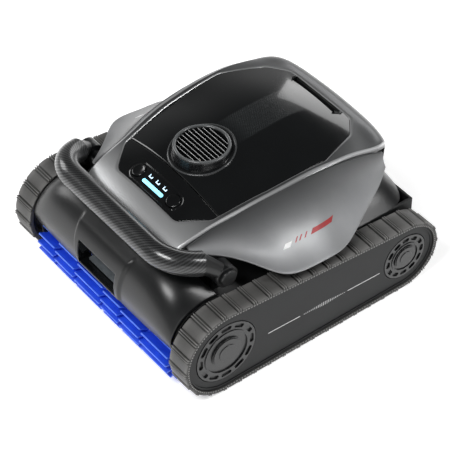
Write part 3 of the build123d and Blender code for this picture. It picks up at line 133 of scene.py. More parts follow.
looks = {
    # shell lacquer with fine aluminium flake: soft wide highlights and a faint sparkle; its pale second colour
    # is a painted highlight along the bevels and a painted light towards the front
    "lacquer": {"name": "SprayedAluminiumFlakeLacquer", "dark": "#505152", "light": "#5A5B5C",
                "blotch": 60, "grain": 0.35, "relief": 0.02, "rough": (0.30, 0.42), "metallic": 0.72,
                "coat": 0.25, "coatRough": 0.18, "scuffs": 0.03, "worn": "#8A8B8C", "strength": 0.25,
                "paintedLightShadeColour": "#E2E3E4"},
    # the same lacquer on the wings, given a paler base as painted light, with a painted shade that darkens it
    # towards the crease
    "wingLacquerPaintedLightShade": {"name": "SprayedAluminiumFlakeLacquerWingPaintedLightShade", "dark": "#87888A", "light": "#919293",
                    "blotch": 60, "grain": 0.35, "relief": 0.02, "rough": (0.42, 0.52), "metallic": 0.55,
                    "coat": 0.25, "coatRough": 0.18, "scuffs": 0.03, "worn": "#9A9B9C", "strength": 0.25,
                    "paintedLightShadeColour": "#1E1F20"},
    # high-gloss moulded polycarbonate: near-black with sharp reflections
    "panelGloss": {"name": "GlossMouldedPolycarbonate", "dark": "#0C0D0E", "light": "#111213",
                   "blotch": 45, "grain": 1.2, "relief": 0.004, "rough": (0.10, 0.16), "coat": 0.3,
                   "coatRough": 0.05, "scuffs": 0.03, "worn": "#303234"},
    # semi-gloss moulded ABS: dark charcoal with a soft sheen
    "bodyAbs": {"name": "SemiGlossMouldedAbs", "dark": "#0C0D0E", "light": "#121314",
                "blotch": 50, "grain": 0.5, "relief": 0.012, "rough": (0.28, 0.38), "coat": 0.1,
                "coatRough": 0.2, "scuffs": 0.03, "worn": "#1C1E20"},
    # spark-textured ABS: matte black with a fine pitted grain
    "chassisAbs": {"name": "SparkTexturedAbs", "dark": "#0B0C0D", "light": "#111213",
                   "blotch": 40, "grain": 0.8, "relief": 0.06, "rough": (0.5, 0.68), "scuffs": 0.1,
                   "worn": "#333536"},
    # fine-textured nylon with glass: charcoal, satin, scuffed in use
    "coverNylon": {"name": "TexturedGlassFilledNylon", "dark": "#0D0E0F", "light": "#121415",
                   "blotch": 55, "grain": 0.7, "relief": 0.04, "rough": (0.46, 0.58), "ior": 1.4,
                   "scuffs": 0.06,
                   "worn": "#2E3234"},
    # satin moulded nylon for the hubs: darker, with glints on its steps
    "hubNylon": {"name": "SatinMouldedNylonHub", "dark": "#0A0B0C", "light": "#0F1011",
                 "blotch": 30, "grain": 0.6, "relief": 0.02, "rough": (0.26, 0.38), "scuffs": 0.06,
                 "worn": "#24282A", "coat": 0.25, "coatRough": 0.18},
    # satin moulded ABS for the grille's ring: black, with a painted highlight as a soft grey line round its
    # rim
    "ringAbs": {"name": "SatinMouldedAbsRing", "dark": "#0C0D0E", "light": "#121314",
                "blotch": 25, "grain": 0.5, "relief": 0.01, "rough": (0.2, 0.3), "scuffs": 0.04,
                "worn": "#3A3C3D", "paintedLightShadeColour": "#5E6061", "coat": 0.2, "coatRough": 0.15},
    # brushed and lacquered aluminium slats: dark bars, with a painted highlight as a pale line along each top
    "slatAluminium": {"name": "BrushedLacqueredAluminium", "dark": "#101112", "light": "#18191A",
                      "blotch": 12, "grain": 0.4, "relief": 0.02, "rough": (0.28, 0.4), "metallic": 0.5,
                      "scuff": 0.6, "scuffs": 0.1, "worn": "#3A3B3C", "paintedLightShadeColour": "#D4D5D5"},
    # vulcanised rubber: matte warm grey, with a painted highlight that makes the raised ribs, the tread's
    # edges and the side teeth paler
    "beltRubber": {"name": "VulcanisedGreyRubber", "dark": "#2D2D2C", "light": "#383736",
                   "blotch": 22, "grain": 0.6, "relief": 0.05, "rough": (0.42, 0.6), "scuffs": 0.12,
                   "worn": "#4C4B49", "paintedLightShadeColour": "#8A8987", "sheen": 0.05},
    # moulded silicone: dull even black
    "sealRubber": {"name": "MouldedBlackSilicone", "dark": "#0D0D0E", "light": "#151516",
                   "blotch": 20, "grain": 0.5, "relief": 0.02, "rough": (0.5, 0.65), "scuffs": 0.06,
                   "worn": "#242425"},
    # cast polyurethane paddles: saturated blue, a little translucent at thin edges; the paler blade tips and
    # ends are a painted highlight
    "paddleUrethane": {"name": "CastBluePolyurethane", "dark": "#2048CC", "light": "#2A58E4",
                       "blotch": 18, "grain": 0.9, "relief": 0.03, "rough": (0.34, 0.46), "soft": 0.04,
                       "scuffs": 0.1, "worn": "#4468E0", "paintedLightShadeColour": "#5F8CFF"},
    # moulded polypropylene core: deep satin blue that sets off the blades
    "coreBlue": {"name": "MouldedBluePolypropylene", "dark": "#101B52", "light": "#16246B",
                 "blotch": 18, "grain": 0.7, "relief": 0.02, "rough": (0.4, 0.5), "scuffs": 0.08,
                 "worn": "#26378C"},
    # smoked acrylic: grey, smooth, with a clear highlight
    "sensorAcrylic": {"name": "SmokedAcrylicWindow", "dark": "#4A4E51", "light": "#6B7074",
                      "blotch": 28, "grain": 1.0, "relief": 0.003, "rough": (0.12, 0.2), "coat": 0.4,
                      "coatRough": 0.05, "scuffs": 0.02},
    # polished glass: near-black with a sharp glint
    "eyeGlass": {"name": "PolishedSensorGlass", "dark": "#0A0B0C", "light": "#141619", "blotch": 3,
                 "grain": 0.6, "relief": 0.002, "rough": (0.05, 0.1), "coat": 0.6, "coatRough": 0.02},
    # light-guide acrylic lit from behind: clear cyan with a paler middle
    "litBar": {"name": "LitCyanLightGuide", "dark": "#7FCBE4", "light": "#A9E4F5", "blotch": 6,
               "grain": 0.8, "relief": 0.01, "rough": (0.25, 0.35), "glow": "#7AD3F2", "glowPower": 1.5},
    "litIcon": {"name": "LitWhiteLightGuide", "dark": "#B8DDF0", "light": "#DDF2FC", "blotch": 4,
                "grain": 0.8, "relief": 0.01, "rough": (0.25, 0.35), "glow": "#BFE3FA", "glowPower": 1.3},
    # screen-printed inks: flat even colour with a slightly rough surface
    "redInk": {"name": "ScreenPrintedRedInk", "dark": "#8A0E14", "light": "#9C1218", "blotch": 8,
               "grain": 0.4, "relief": 0.006, "rough": (0.35, 0.5), "scuffs": 0.06, "worn": "#8A1B20"},
    "whiteInk": {"name": "ScreenPrintedWhiteInk", "dark": "#D9D9D9", "light": "#EDEDED", "blotch": 8,
                 "grain": 0.4, "relief": 0.006, "rough": (0.4, 0.55), "scuffs": 0.05, "worn": "#BFBFBF"},
    # turned stainless shafts: fine rings, bright
    "shaftSteel": {"name": "TurnedStainlessSteel", "dark": "#A6A8AB", "light": "#BCBEC0", "blotch": 8,
                   "grain": 0.3, "relief": 0.01, "rough": (0.2, 0.32), "metallic": 1.0, "scuff": 0.5,
                   "scuffs": 0.1, "worn": "#D6D7D8"},
    # natural nylon as moulded: warm off-white, a little waxy
    "gearNylon": {"name": "MouldedNaturalNylon", "dark": "#CFCBBE", "light": "#DEDACD", "blotch": 10,
                  "grain": 0.6, "relief": 0.01, "rough": (0.35, 0.45), "soft": 0.1, "scuffs": 0.05,
                  "worn": "#BDB8A8"},
    # drawn aluminium can: plain grey metal with soft highlights
    "motorCan": {"name": "DrawnAluminiumCan", "dark": "#8E9093", "light": "#A2A4A7", "blotch": 14,
                 "grain": 0.4, "relief": 0.01, "rough": (0.3, 0.42), "metallic": 1.0, "scuffs": 0.08,
                 "worn": "#C0C2C4"},
    # shrunk film on the cells: blue, fairly glossy, slightly uneven
    "batteryFilm": {"name": "HeatShrunkPvcFilm", "dark": "#1B3260", "light": "#234078", "blotch": 16,
                    "grain": 1.5, "relief": 0.05, "rough": (0.25, 0.35), "scuffs": 0.05, "worn": "#3C5C9C"},
    # solder mask: green with fine yellowish wear
    "boardMask": {"name": "GreenSolderMaskBoard", "dark": "#0F4A26", "light": "#17613A", "blotch": 4,
                  "grain": 0.8, "relief": 0.03, "rough": (0.3, 0.42), "scuffs": 0.1, "worn": "#B9A45C"},
    # woven nylon: pale grey, rough and broken up
    "meshNylon": {"name": "WovenNylonMesh", "dark": "#8C9192", "light": "#A5AAAB", "blotch": 5,
                  "grain": 0.6, "relief": 0.2, "rough": (0.5, 0.65), "scuffs": 0.05, "worn": "#C2C6C7"},
    # plated brass: bright warm yellow
    "contactBrass": {"name": "PlatedBrassContact", "dark": "#B8924A", "light": "#CBA65C", "blotch": 4,
                     "grain": 0.3, "relief": 0.01, "rough": (0.2, 0.3), "metallic": 1.0, "scuffs": 0.1,
                     "worn": "#E0C88A"},
}
finishes = {key: makeFinish(look) for key, look in looks.items()}


def makeLidMaterial(look):
    # the lid's gloss black, with a patch of fine staggered dots that fades out at its ends
    material, tree = startMaterial(look["name"])
    place = addNode(tree, "ShaderNodeTexCoord").outputs["Object"]
    blotch = noise(tree, place, look["blotch"], 3.0)[0]
    grain = noise(tree, place, look["grain"], 2.0)[0]
    turned = addNode(tree, "ShaderNodeMapping", None, {"Vector": place, "Rotation": (0.0, 0.0, math.pi / 4)})
    flat = addNode(tree, "ShaderNodeVectorMath", {"operation": "MULTIPLY"}, {
        0: turned.outputs[0], 1: (1.0, 1.0, 0.0)})
    dots = addNode(tree, "ShaderNodeTexVoronoi", {"voronoi_dimensions": "2D"}, {
        "Vector": flat.outputs[0], "Scale": 1 / (look["dotPitch"] * mm), "Randomness": 0.0})
    dot = remap(tree, dots.outputs["Distance"], look["dotEdge"])
    axes = addNode(tree, "ShaderNodeSeparateXYZ", None, {"Vector": place}).outputs
    inside = remap(tree, maths(tree, "ABSOLUTE", axes["X"]), [way * mm for way in look["fadeAcross"]])
    away = maths(tree, "ABSOLUTE", maths(tree, "SUBTRACT", axes["Y"], look["middleY"] * mm))
    along = remap(tree, away, [way * mm for way in look["fadeAlong"]])
    patch = maths(tree, "MULTIPLY", inside, along)
    marks = maths(tree, "MULTIPLY", patch, dot)
    base = mixColour(tree, blotch, linearColour(look["dark"]), linearColour(look["light"]))
    colour = mixColour(tree, marks, base, linearColour(look["dotColour"]))
    smooth = remap(tree, grain, (0.3, 0.7), look["rough"])
    roughness = maths(tree, "MULTIPLY_ADD", patch, look["patchRough"], smooth)
    height = maths(tree, "MULTIPLY_ADD", grain, look["grainShare"], marks)
    relief = addNode(tree, "ShaderNodeBump", None, {
        "Strength": 0.5, "Distance": look["relief"] * mm, "Height": height})
    closeMaterial(tree, colour, roughness, relief.outputs[0], look)
    return material


# a deep gloss black; the dots are 2.4 mm apart, chosen so that they show as a faint sheen
finishes["lidGloss"] = makeLidMaterial({
    "name": "GlossMouldedPolycarbonateLid", "dark": "#0B0C0D", "light": "#111314", "blotch": 60,
    "grain": 1.5, "relief": 0.12, "rough": (0.09, 0.15), "grainShare": 0.02, "dotPitch": 2.4,
    "dotEdge": (0.42, 0.28), "dotColour": "#2B2E2F", "patchRough": 0.14, "middleY": 60,
    "fadeAcross": (27, 24), "fadeAlong": (62, 32), "coat": 0.5, "coatRough": 0.05})


def makeCarbonMaterial(look):
    # two-by-two twill: each tow passes over two and under two, a step further on in each row,
    # so the pattern runs as diagonals; the UV map counts tows along and round the grip
    material, tree = startMaterial(look["name"])
    uv = addNode(tree, "ShaderNodeUVMap", {"uv_map": "UVMap"}).outputs[0]
    axes = addNode(tree, "ShaderNodeSeparateXYZ", None, {"Vector": uv}).outputs
    cells = maths(tree, "ADD", maths(tree, "FLOOR", axes["X"]), maths(tree, "FLOOR", axes["Y"]))
    over = maths(tree, "LESS_THAN", maths(tree, "FLOORED_MODULO", cells, 4.0), 1.5)
    roundU, roundV = [maths(tree, "PINGPONG", maths(tree, "FRACT", axes[way]), 0.5) for way in ("X", "Y")]
    height = addNode(tree, "ShaderNodeMix", {"data_type": "FLOAT"}, {0: over, 2: roundU, 3: roundV})
    place = addNode(tree, "ShaderNodeTexCoord").outputs["Object"]
    fibre = noise(tree, place, look["fibre"], 2.0)[1]
    # painted sheen: the tows of one direction are painted lighter than the others
    weave = mixColour(tree, over, linearColour(look["weft"]), linearColour(look["warpPaintedSheen"]))
    colour = mixColour(tree, look["fibreShare"], weave, fibre, "MULTIPLY")
    roughness = remap(tree, over, (0.0, 1.0), look["rough"])
    relief = addNode(tree, "ShaderNodeBump", None, {
        "Strength": 0.35, "Distance": look["relief"] * mm, "Height": height.outputs[0]})
    closeMaterial(tree, colour, roughness, relief.outputs[0], look)
    return material


# carbon twill under clear lacquer: dark diagonals beside tows painted lighter as a painted sheen, with relief
# and gloss that change with the angle, under a soft gloss
finishes["carbonTwill"] = makeCarbonMaterial({
    "name": "LacqueredCarbonTwill", "weft": "#09090A", "warpPaintedSheen": "#444546", "metallic": 0.35,
    "fibre": 0.4545, "fibreShare": 0.35, "rough": (0.42, 0.3), "relief": 0.12, "coat": 0.8,
    "coatRough": 0.16})
print("materials made:", len(finishes))


def splineThrough(knots, values, at):
    # natural cubic: second slopes solve one banded system, then each span is the usual blend
    knots = np.asarray(knots, float)
    values = np.asarray(values, float).reshape(len(knots), -1)
    count, span = len(knots), np.diff(knots)
    system, right = np.eye(count), np.zeros_like(values)
    inner = np.arange(1, count - 1)
    system[inner, inner - 1], system[inner, inner + 1] = span[:-1], span[1:]
    system[inner, inner] = 2 * (span[:-1] + span[1:])
    slope = np.diff(values, axis=0) / span[:, None]
    right[1:-1] = 6 * (slope[1:] - slope[:-1])
    bend = np.linalg.solve(system, right)
    at = np.asarray(at, float)
    k = np.clip(np.searchsorted(knots, at, side="right") - 1, 0, count - 2)
    a, b, h = (at - knots[k])[..., None], (knots[k + 1] - at)[..., None], span[k][..., None]
    curve = (bend[k] * b ** 3 + bend[k + 1] * a ** 3) / (6 * h)
    return curve + (values[k] / h - bend[k] * h / 6) * b + (values[k + 1] / h - bend[k + 1] * h / 6) * a


def makeSkin(rows):
    # side-view lines at several half widths, with one set of chord-length knots
    places = np.array([x for x, _ in rows], float) * mm
    points = np.array([line for _, line in rows], float) * mm
    chord = np.linalg.norm(np.diff(points, axis=1), axis=-1).mean(0)
    return {"x": places, "points": points, "knots": np.concatenate([[0], np.cumsum(chord)])}


def skinPoint(skin, x, t):
    # every line is a cubic in t, and across the width the lines blend by an even polynomial in x
    count = len(skin["x"])
    table = np.moveaxis(skin["points"], 0, 1).reshape(len(skin["knots"]), count * 2)
    lines = splineThrough(skin["knots"], table, t).reshape(np.shape(t) + (count, 2))
    squares, blended = skin["x"] ** 2, 0
    for j in range(count):
        rest = np.delete(squares, j)
        weight = np.prod([(x ** 2 - other) / (squares[j] - other) for other in rest], axis=0)
        blended = blended + weight[..., None] * lines[..., j, :]
    return np.stack([x, blended[..., 0], blended[..., 1]], -1)


def skinStation(skin, x, y):
    # the t at which a line reaches y, by halving
    x, y = np.broadcast_arrays(np.asarray(x, float), np.asarray(y, float))
    low, high = np.zeros(x.shape), np.full(x.shape, skin["knots"][-1])
    for _ in range(24):
        middle = (low + high) / 2
        short = skinPoint(skin, x, middle)[..., 1] < y
        low, high = np.where(short, middle, low), np.where(short, high, middle)
    return (low + high) / 2


def skinHeight(skin, x, y):
    x, y = np.broadcast_arrays(np.asarray(x, float), np.asarray(y, float))
    return skinPoint(skin, x, skinStation(skin, x, y))[..., 2]


def smoothStep(value, low, high):
    s = np.clip((value - low) / (high - low), 0, 1)
    return s * s * (3 - 2 * s)


def gridNormals(points, closeRows=False, closeCols=False):
    # cross product of the two central differences
    def difference(axis, closed):
        if closed:
            return np.roll(points, -1, axis) - np.roll(points, 1, axis)
        return np.gradient(points, axis=axis)
    normal = np.cross(difference(0, closeRows), difference(1, closeCols))
    return normal / np.maximum(np.linalg.norm(normal, axis=-1, keepdims=True), 1e-12)


def roundedOutline(corners, radius, count):
    # a polygon with an arc at each corner, then spaced evenly along its length
    corners = np.array(corners, float)
    inward = corners - np.roll(corners, 1, 0)
    inward /= np.linalg.norm(inward, axis=1, keepdims=True)
    onward = np.roll(inward, -1, 0)
    half = np.arccos(np.clip((inward * onward).sum(1), -1, 1)) / 2
    side = np.sign(inward[:, 0] * onward[:, 1] - inward[:, 1] * onward[:, 0])[:, None]
    across = np.stack([-inward[:, 1], inward[:, 0]], 1) * side
    centre = corners - inward * (radius * np.tan(half))[:, None] + across * radius
    turn = np.linspace(0, 1, 14)[None, :, None] * (2 * half)[:, None, None]
    arcs = centre[:, None] + radius * (inward[:, None] * np.sin(turn) - across[:, None] * np.cos(turn))
    path = arcs.reshape(-1, 2)
    path = np.concatenate([path, path[:1]])
    length = np.concatenate([[0], np.cumsum(np.linalg.norm(np.diff(path, axis=0), axis=1))])
    at = np.linspace(0, length[-1], count, endpoint=False)
    return np.stack([np.interp(at, length, path[:, i]) for i in (0, 1)], 1)


def outlineOffset(outline, amount):
    # each point moved along its own outward normal
    along = np.roll(outline, -1, 0) - np.roll(outline, 1, 0)
    along /= np.linalg.norm(along, axis=1, keepdims=True)
    return outline + amount * np.stack([along[:, 1], -along[:, 0]], 1)


def gridPatch(points, closeRows=False, closeCols=False, rowCoord=None, colCoord=None, keep=None,
              caps=False, facing=None, paintedLightShade=None):
    # a grid of points as four-sided faces, turned so that it faces outwards
    rows, cols = points.shape[:2]
    a, b = np.meshgrid(np.arange(rows if closeRows else rows - 1),
                       np.arange(cols if closeCols else cols - 1), indexing="ij")
    a, b = a.ravel(), b.ravel()
    if keep is not None:
        chosen = keep[a, b]
        a, b = a[chosen], b[chosen]
    rowAt, colAt = np.stack([a, a + 1, a + 1, a], 1), np.stack([b, b, b + 1, b + 1], 1)
    quads = (rowAt % rows) * cols + colAt % cols
    rowCoord = np.arange(rows + 1.0) if rowCoord is None else rowCoord
    colCoord = np.arange(cols + 1.0) if colCoord is None else colCoord
    uv = np.stack([rowCoord[rowAt], colCoord[colAt]], -1)
    flat = points.reshape(-1, 3)
    corner = flat[quads]
    normal = np.cross(corner[:, 2] - corner[:, 0], corner[:, 3] - corner[:, 1])
    if facing is None:
        outward = (corner.mean(1) - flat.mean(0)) * normal
    else:
        outward = normal * np.array(facing)
    faces, loops = quads.tolist(), uv.reshape(-1, 2)
    if caps:
        faces += [list(range(cols)), list(range((rows - 1) * cols, rows * cols))[::-1]]
        loops = np.concatenate([loops, np.zeros((2 * cols, 2))])
    if outward.sum() < 0:
        ends = np.cumsum([len(f) for f in faces])
        loops = np.concatenate([loops[e - len(f):e][::-1] for f, e in zip(faces, ends)])
        faces = [f[::-1] for f in faces]
    # each point's share of the painted light and shade, none where nothing is painted
    paintedLightShade = np.zeros(len(flat)) if paintedLightShade is None else np.broadcast_to(paintedLightShade, points.shape[:2]).ravel()
    return {"points": flat, "faces": faces, "loops": loops, "paintedLightShade": paintedLightShade}


def lathePatch(profile, origin, axis, count=96):
    # (radius, way along the axis) pairs turned right round; near-zero radii are capped
    profile = np.array(profile, float) * mm
    axis = np.array(axis, float) / np.linalg.norm(axis)
    first = np.cross(axis, [0.0, 0.0, 1.0] if abs(axis[2]) < 0.9 else [1.0, 0.0, 0.0])
    first /= np.linalg.norm(first)
    second = np.cross(axis, first)
    turn = np.linspace(0, 2 * np.pi, count, endpoint=False)
    spoke = np.cos(turn)[:, None] * first + np.sin(turn)[:, None] * second
    points = np.array(origin) * mm + profile[:, None, :1] * spoke + profile[:, None, 1:] * axis
    return gridPatch(points, closeCols=True, caps=True)


def barPatch(section, start, end, ease=0.5):
    # a closed section in (y, z) carried along X, its ends drawn in a little to round them
    section = np.array(section)
    middle = section.mean(0)
    ways = np.array([0, 0.3 * ease, ease]) * mm
    along = np.concatenate([start + ways, end - ways[::-1]])
    pull = np.array([0.82, 0.95, 1, 1, 0.95, 0.82])[:, None, None]
    ring = middle + (section - middle) * pull
    x = np.broadcast_to(along[:, None, None], ring.shape[:2] + (1,))
    return gridPatch(np.concatenate([x, ring], -1), closeCols=True, caps=True)


def tubeAlong(path, normals, binormals, radius, tows=48, count=64, uvLength=1.0):
    # a round section carried along a path; UV counts tows
    turn = np.linspace(0, 2 * np.pi, count, endpoint=False)
    ring = np.cos(turn)[:, None] * normals[:, None] + np.sin(turn)[:, None] * binormals[:, None]
    length = np.concatenate([[0], np.cumsum(np.linalg.norm(np.diff(path, axis=0), axis=1))])
    rowCoord = np.append(length, length[-1]) / uvLength
    radius = np.broadcast_to(radius, (len(path),))[:, None, None]
    return gridPatch(path[:, None] + radius * ring, closeCols=True, rowCoord=rowCoord,
                     colCoord=np.linspace(0, tows, count + 1), caps=True)


def mirrorPatch(patch):
    # x changes sign, and each face runs the other way round
    faces = patch["faces"]
    ends = np.cumsum([len(f) for f in faces])
    loops = np.concatenate([patch["loops"][e - len(f):e][::-1] for f, e in zip(faces, ends)])
    return {"points": patch["points"] * [-1, 1, 1], "faces": [f[::-1] for f in faces],
            "loops": loops, "paintedLightShade": patch["paintedLightShade"]}


def buildPiece(name, patches, finish, body, replaced=(), sharp=38, wall=0, bevel=0,
               wallShare=None):
    # joins patches into one mesh, and finishes it with a wall and rounded edges where asked
    faces, start = [], 0
    for patch in patches:
        faces += [[i + start for i in face] for face in patch["faces"]]
        start += len(patch["points"])
    mesh = bpy.data.meshes.new(name)
    mesh.from_pydata(np.concatenate([p["points"] for p in patches]).tolist(), [], faces)
    mesh.uv_layers.new(name="UVMap").data.foreach_set(
        "uv", np.concatenate([p["loops"] for p in patches]).ravel())
    # the share of painted light and shade at each point goes on the mesh for the material
    mesh.attributes.new("paintedLightShade", "FLOAT", "POINT").data.foreach_set(
        "value", np.concatenate([p["paintedLightShade"] for p in patches]).astype(float))
    mesh.shade_smooth()
    mesh.set_sharp_from_angle(angle=math.radians(sharp))
    piece = bpy.data.objects.new(name, mesh)
    bpy.context.scene.collection.objects.link(piece)
    mesh.materials.append(finishes[finish])
    if wall:
        shell = piece.modifiers.new("Wall", "SOLIDIFY")
        shell.thickness, shell.offset = wall * mm, -1
        if wallShare is not None:
            group = piece.vertex_groups.new(name="wallShare")
            for value in np.unique(wallShare):
                group.add(np.flatnonzero(wallShare == value).tolist(), float(value), "REPLACE")
            shell.vertex_group = "wallShare"
    if bevel:
        edge = piece.modifiers.new("Edges", "BEVEL")
        edge.width, edge.segments, edge.limit_method = bevel * mm, 2, "ANGLE"
        edge.angle_limit, edge.harden_normals = math.radians(40), True
    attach(piece, body)
    if replaced:
        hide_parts(*replaced)
    return piece


def buildPair(name, patches, finish, replaced=None, sharp=38):
    # the right-hand piece, then its mirror image
    for side, turned in (("right", patches), ("left", [mirrorPatch(p) for p in patches])):
        buildPiece(f"{name}_{side}", turned, finish, "chassis", [f"{replaced}_{side}"] if replaced else (),
                   sharp=sharp)


view = {"azimuth": 52.29, "elevation": 43.67, "lens": 162.43, "distance": 2923.9,
        "aside": -2.63, "upward": 42.05, "forward": 6.0}
az, el = math.radians(view["azimuth"]), math.radians(view["elevation"])
right = Vector((math.cos(az), math.sin(az), 0))
behind = Vector((math.sin(az) * math.cos(el), -math.cos(az) * math.cos(el), math.sin(el)))
upward = behind.cross(right)
spot = (right * view["aside"] + upward * view["upward"] + behind * view["distance"]) * mm
spot.y += view["forward"] * mm
cameraData = bpy.data.cameras.new("camera")
cameraData.lens, cameraData.sensor_width, cameraData.clip_end = view["lens"], 36, 30
camera = bpy.data.objects.new("camera", cameraData)
bpy.context.scene.collection.objects.link(camera)
camera.matrix_world = Matrix((right, upward, behind)).transposed().to_4x4()
camera.location = spot
bpy.context.scene.camera = camera

studio = {"floorSize": 7.0, "floorColour": "#F6F6F6", "exposure": 0.0, "ceiling": 0.06, "horizon": 0.42,
          "floorGlow": 0.5, "paperGrain": 1.111, "skyBand": (0.12, 0.62)}
floorMaterial, tree = startMaterial("MattePaperSweep")
floorPlace = addNode(tree, "ShaderNodeTexCoord").outputs["Object"]
# uncoated paper: even matte white with the faintest grain
paper = noise(tree, floorPlace, studio["paperGrain"], 2.0)[0]
paperBump = addNode(tree, "ShaderNodeBump", None, {"Strength": 0.05, "Distance": 0.1 * mm, "Height": paper})
paperRough = remap(tree, paper, (0.0, 1.0), (0.85, 0.95))
closeMaterial(tree, linearColour(studio["floorColour"]), paperRough, paperBump.outputs[0],
              {"glow": studio["floorColour"], "glowPower": studio["floorGlow"]})
half = studio["floorSize"] / 2
floorMesh = bpy.data.meshes.new("floor")
floorCorners = [(-half, -half, 0), (half, -half, 0), (half, half, 0), (-half, half, 0)]
floorMesh.from_pydata(floorCorners, [], [(0, 1, 2, 3)])
floorMesh.materials.append(floorMaterial)
floor = bpy.data.objects.new("floor", floorMesh)
bpy.context.scene.collection.objects.link(floor)

world = bpy.data.worlds.new("studio")
world.use_nodes = True
tree = world.node_tree
tree.nodes.clear()
sky = addNode(tree, "ShaderNodeTexCoord").outputs["Generated"]
skyAxes = addNode(tree, "ShaderNodeSeparateXYZ", None, {"Vector": sky})
band = remap(tree, skyAxes.outputs["Z"], studio["skyBand"], (studio["horizon"], studio["ceiling"]))
background = addNode(tree, "ShaderNodeBackground", None, {"Color": (1, 1, 1, 1), "Strength": band})
addNode(tree, "ShaderNodeOutputWorld", None, {"Surface": background.outputs[0]})
bpy.context.scene.world = world
bpy.context.scene.view_settings.view_transform = "Standard"
bpy.context.scene.view_settings.exposure = studio["exposure"]

# place, size across and up, power in watts; every one looks at the machine
softboxes = {
    "frontTop": ((0.4, -1.6, 2.4), (1.2, 0.8), 46),
    "rearLow": ((-0.9, 2.3, 1.1), (2.0, 0.9), 14),
    "rightHigh": ((1.5, 1.1, 1.9), (0.45, 1.3), 26),
    "leftFill": ((-2.2, -0.9, 1.3), (1.2, 1.0), 18),
    "nearSide": ((2.4, -1.0, 0.45), (1.6, 0.5), 3),
}
for name, (place, size, power) in softboxes.items():
    lampData = bpy.data.lights.new(name, "AREA")
    lampData.shape, lampData.energy = "RECTANGLE", power
    lampData.size, lampData.size_y = size
    lamp = bpy.data.objects.new(name, lampData)
    bpy.context.scene.collection.objects.link(lamp)
    lamp.location = place
    lamp.rotation_euler = (Vector((0, 0, 0.12)) - Vector(place)).to_track_quat("-Z", "Y").to_euler()
print("camera, floor and", len(softboxes), "softboxes placed")

# (y, z) side-view lines of the frame and of the lid, at several half widths, front to rear
frameSkin = makeSkin([
    (0, [(-172, 176), (-167, 184), (-134, 202), (-88, 212), (-40, 220), (0, 225), (45, 229),
         (90, 230), (130, 227), (162, 221), (186, 215), (198, 203), (204, 184), (206, 160)]),
    (62, [(-172, 174), (-166, 182), (-134, 199.5), (-88, 210), (-40, 218.5), (0, 224), (45, 228),
          (90, 229), (130, 226), (162, 220.5), (184, 214.5), (196, 203), (202, 184), (204, 160)]),
    (100, [(-170, 169), (-164, 178), (-134, 195.5), (-88, 207), (-40, 217), (0, 222), (45, 226),
           (90, 226.5), (130, 222.5), (160, 217), (182, 211), (192, 200), (198, 183), (200, 160)]),
    (130, [(-168, 164), (-162, 172), (-134, 193), (-88, 208), (-40, 221), (0, 225.5), (34, 227.5),
           (88, 225), (118, 219), (148, 209.5), (170, 200), (182, 190), (189, 176), (192, 160)]),
])
lidSkin = makeSkin([
    (0, [(-150, 197), (-130, 203), (-88, 218.5), (-40, 229.5), (0, 235), (45, 238.5),
         (90, 239), (130, 233), (166, 222), (200, 209)]),
    (62, [(-150, 194), (-130, 200.5), (-88, 213), (-40, 224), (0, 229), (45, 233.5),
          (90, 234), (130, 228), (166, 218.5), (200, 206)]),
    (120, [(-150, 186), (-130, 190), (-88, 200.5), (-40, 210.5), (0, 217), (45, 223.5),
           (90, 224), (130, 219), (166, 210), (200, 200)]),
])
opening = {"right": [(66, -134), (97, -98), (109.5, -15), (116, 78), (92, 143), (64, 166)],
           "radius": 18, "points": 900}
openingCorners = opening["right"] + [(-x, y) for x, y in opening["right"][::-1]]
openingOutline = roundedOutline(np.array(openingCorners) * mm, opening["radius"] * mm, opening["points"])
creaseRight = np.array([(96, -176), (101, -151), (106, -107), (114, -62), (120.5, -16), (124, 34),
                        (126.5, 90), (126, 145), (121, 181), (104, 199), (60, 206)]) * mm
creaseAround = np.concatenate([creaseRight, creaseRight[::-1] * [-1, 1]])
creaseKnots = np.concatenate([[0], np.cumsum(np.linalg.norm(np.diff(creaseAround, axis=0), axis=1))])
creaseStations = np.linspace(0, creaseKnots[len(creaseRight) - 1], 500)
creaseLine = splineThrough(creaseKnots, creaseAround, creaseStations)


def creaseX(y):
    return np.interp(y, creaseLine[:, 1], creaseLine[:, 0])


# the band entry and the last three set the painted highlight along the bevels and the painted light towards
# the front
frameRing = {"front": 60, "side": 190, "rear": 40, "innerEdge": [0, 0.3, 0.9, 1.8],
             "outerEdge": [5.9, 5.3, 2.6, 0.35, 0], "between": 18, "innerDrop": 1.1, "outerDrop": 2.4,
             "wall": 2.4, "middle": (0.0, 195.0), "bandHighlight": 0.8, "lip": 0.35,
             "outerDepths": (0.6, 3.4, 3.6), "innerDepths": (0.6, 4.6), "underGap": 2.2,
             "endGap": 0.5, "frontGap": 0.2, "rearGap": 1.0,
             "paintedLightFrom": 70, "paintedLightTo": 150, "paintedFrontLight": 0.5}


def ringOuter():
    # outer border in (x, t): front edge, crease, rear edge, then the mirror image
    skinEnd, endGap = frameSkin["knots"][-1], frameRing["endGap"] * mm
    t = skinStation(frameSkin, creaseLine[:, 0], creaseLine[:, 1])
    inside = (t > endGap) & (t < skinEnd - endGap)
    side = np.stack([creaseLine[inside, 0], t[inside]], 1)
    take = np.linspace(0, len(side) - 1, frameRing["side"]).astype(int)
    side = side[take]
    frontX = np.linspace(0, side[0, 0] - frameRing["frontGap"] * mm, frameRing["front"])
    rearX = np.linspace(side[-1, 0] - frameRing["rearGap"] * mm, 0, frameRing["rear"])
    half = np.concatenate([np.stack([frontX, np.zeros_like(frontX)], 1), side,
                           np.stack([rearX, np.full_like(rearX, skinEnd)], 1)])
    return np.concatenate([half, (half[1:-1] * [-1, 1])[::-1]])


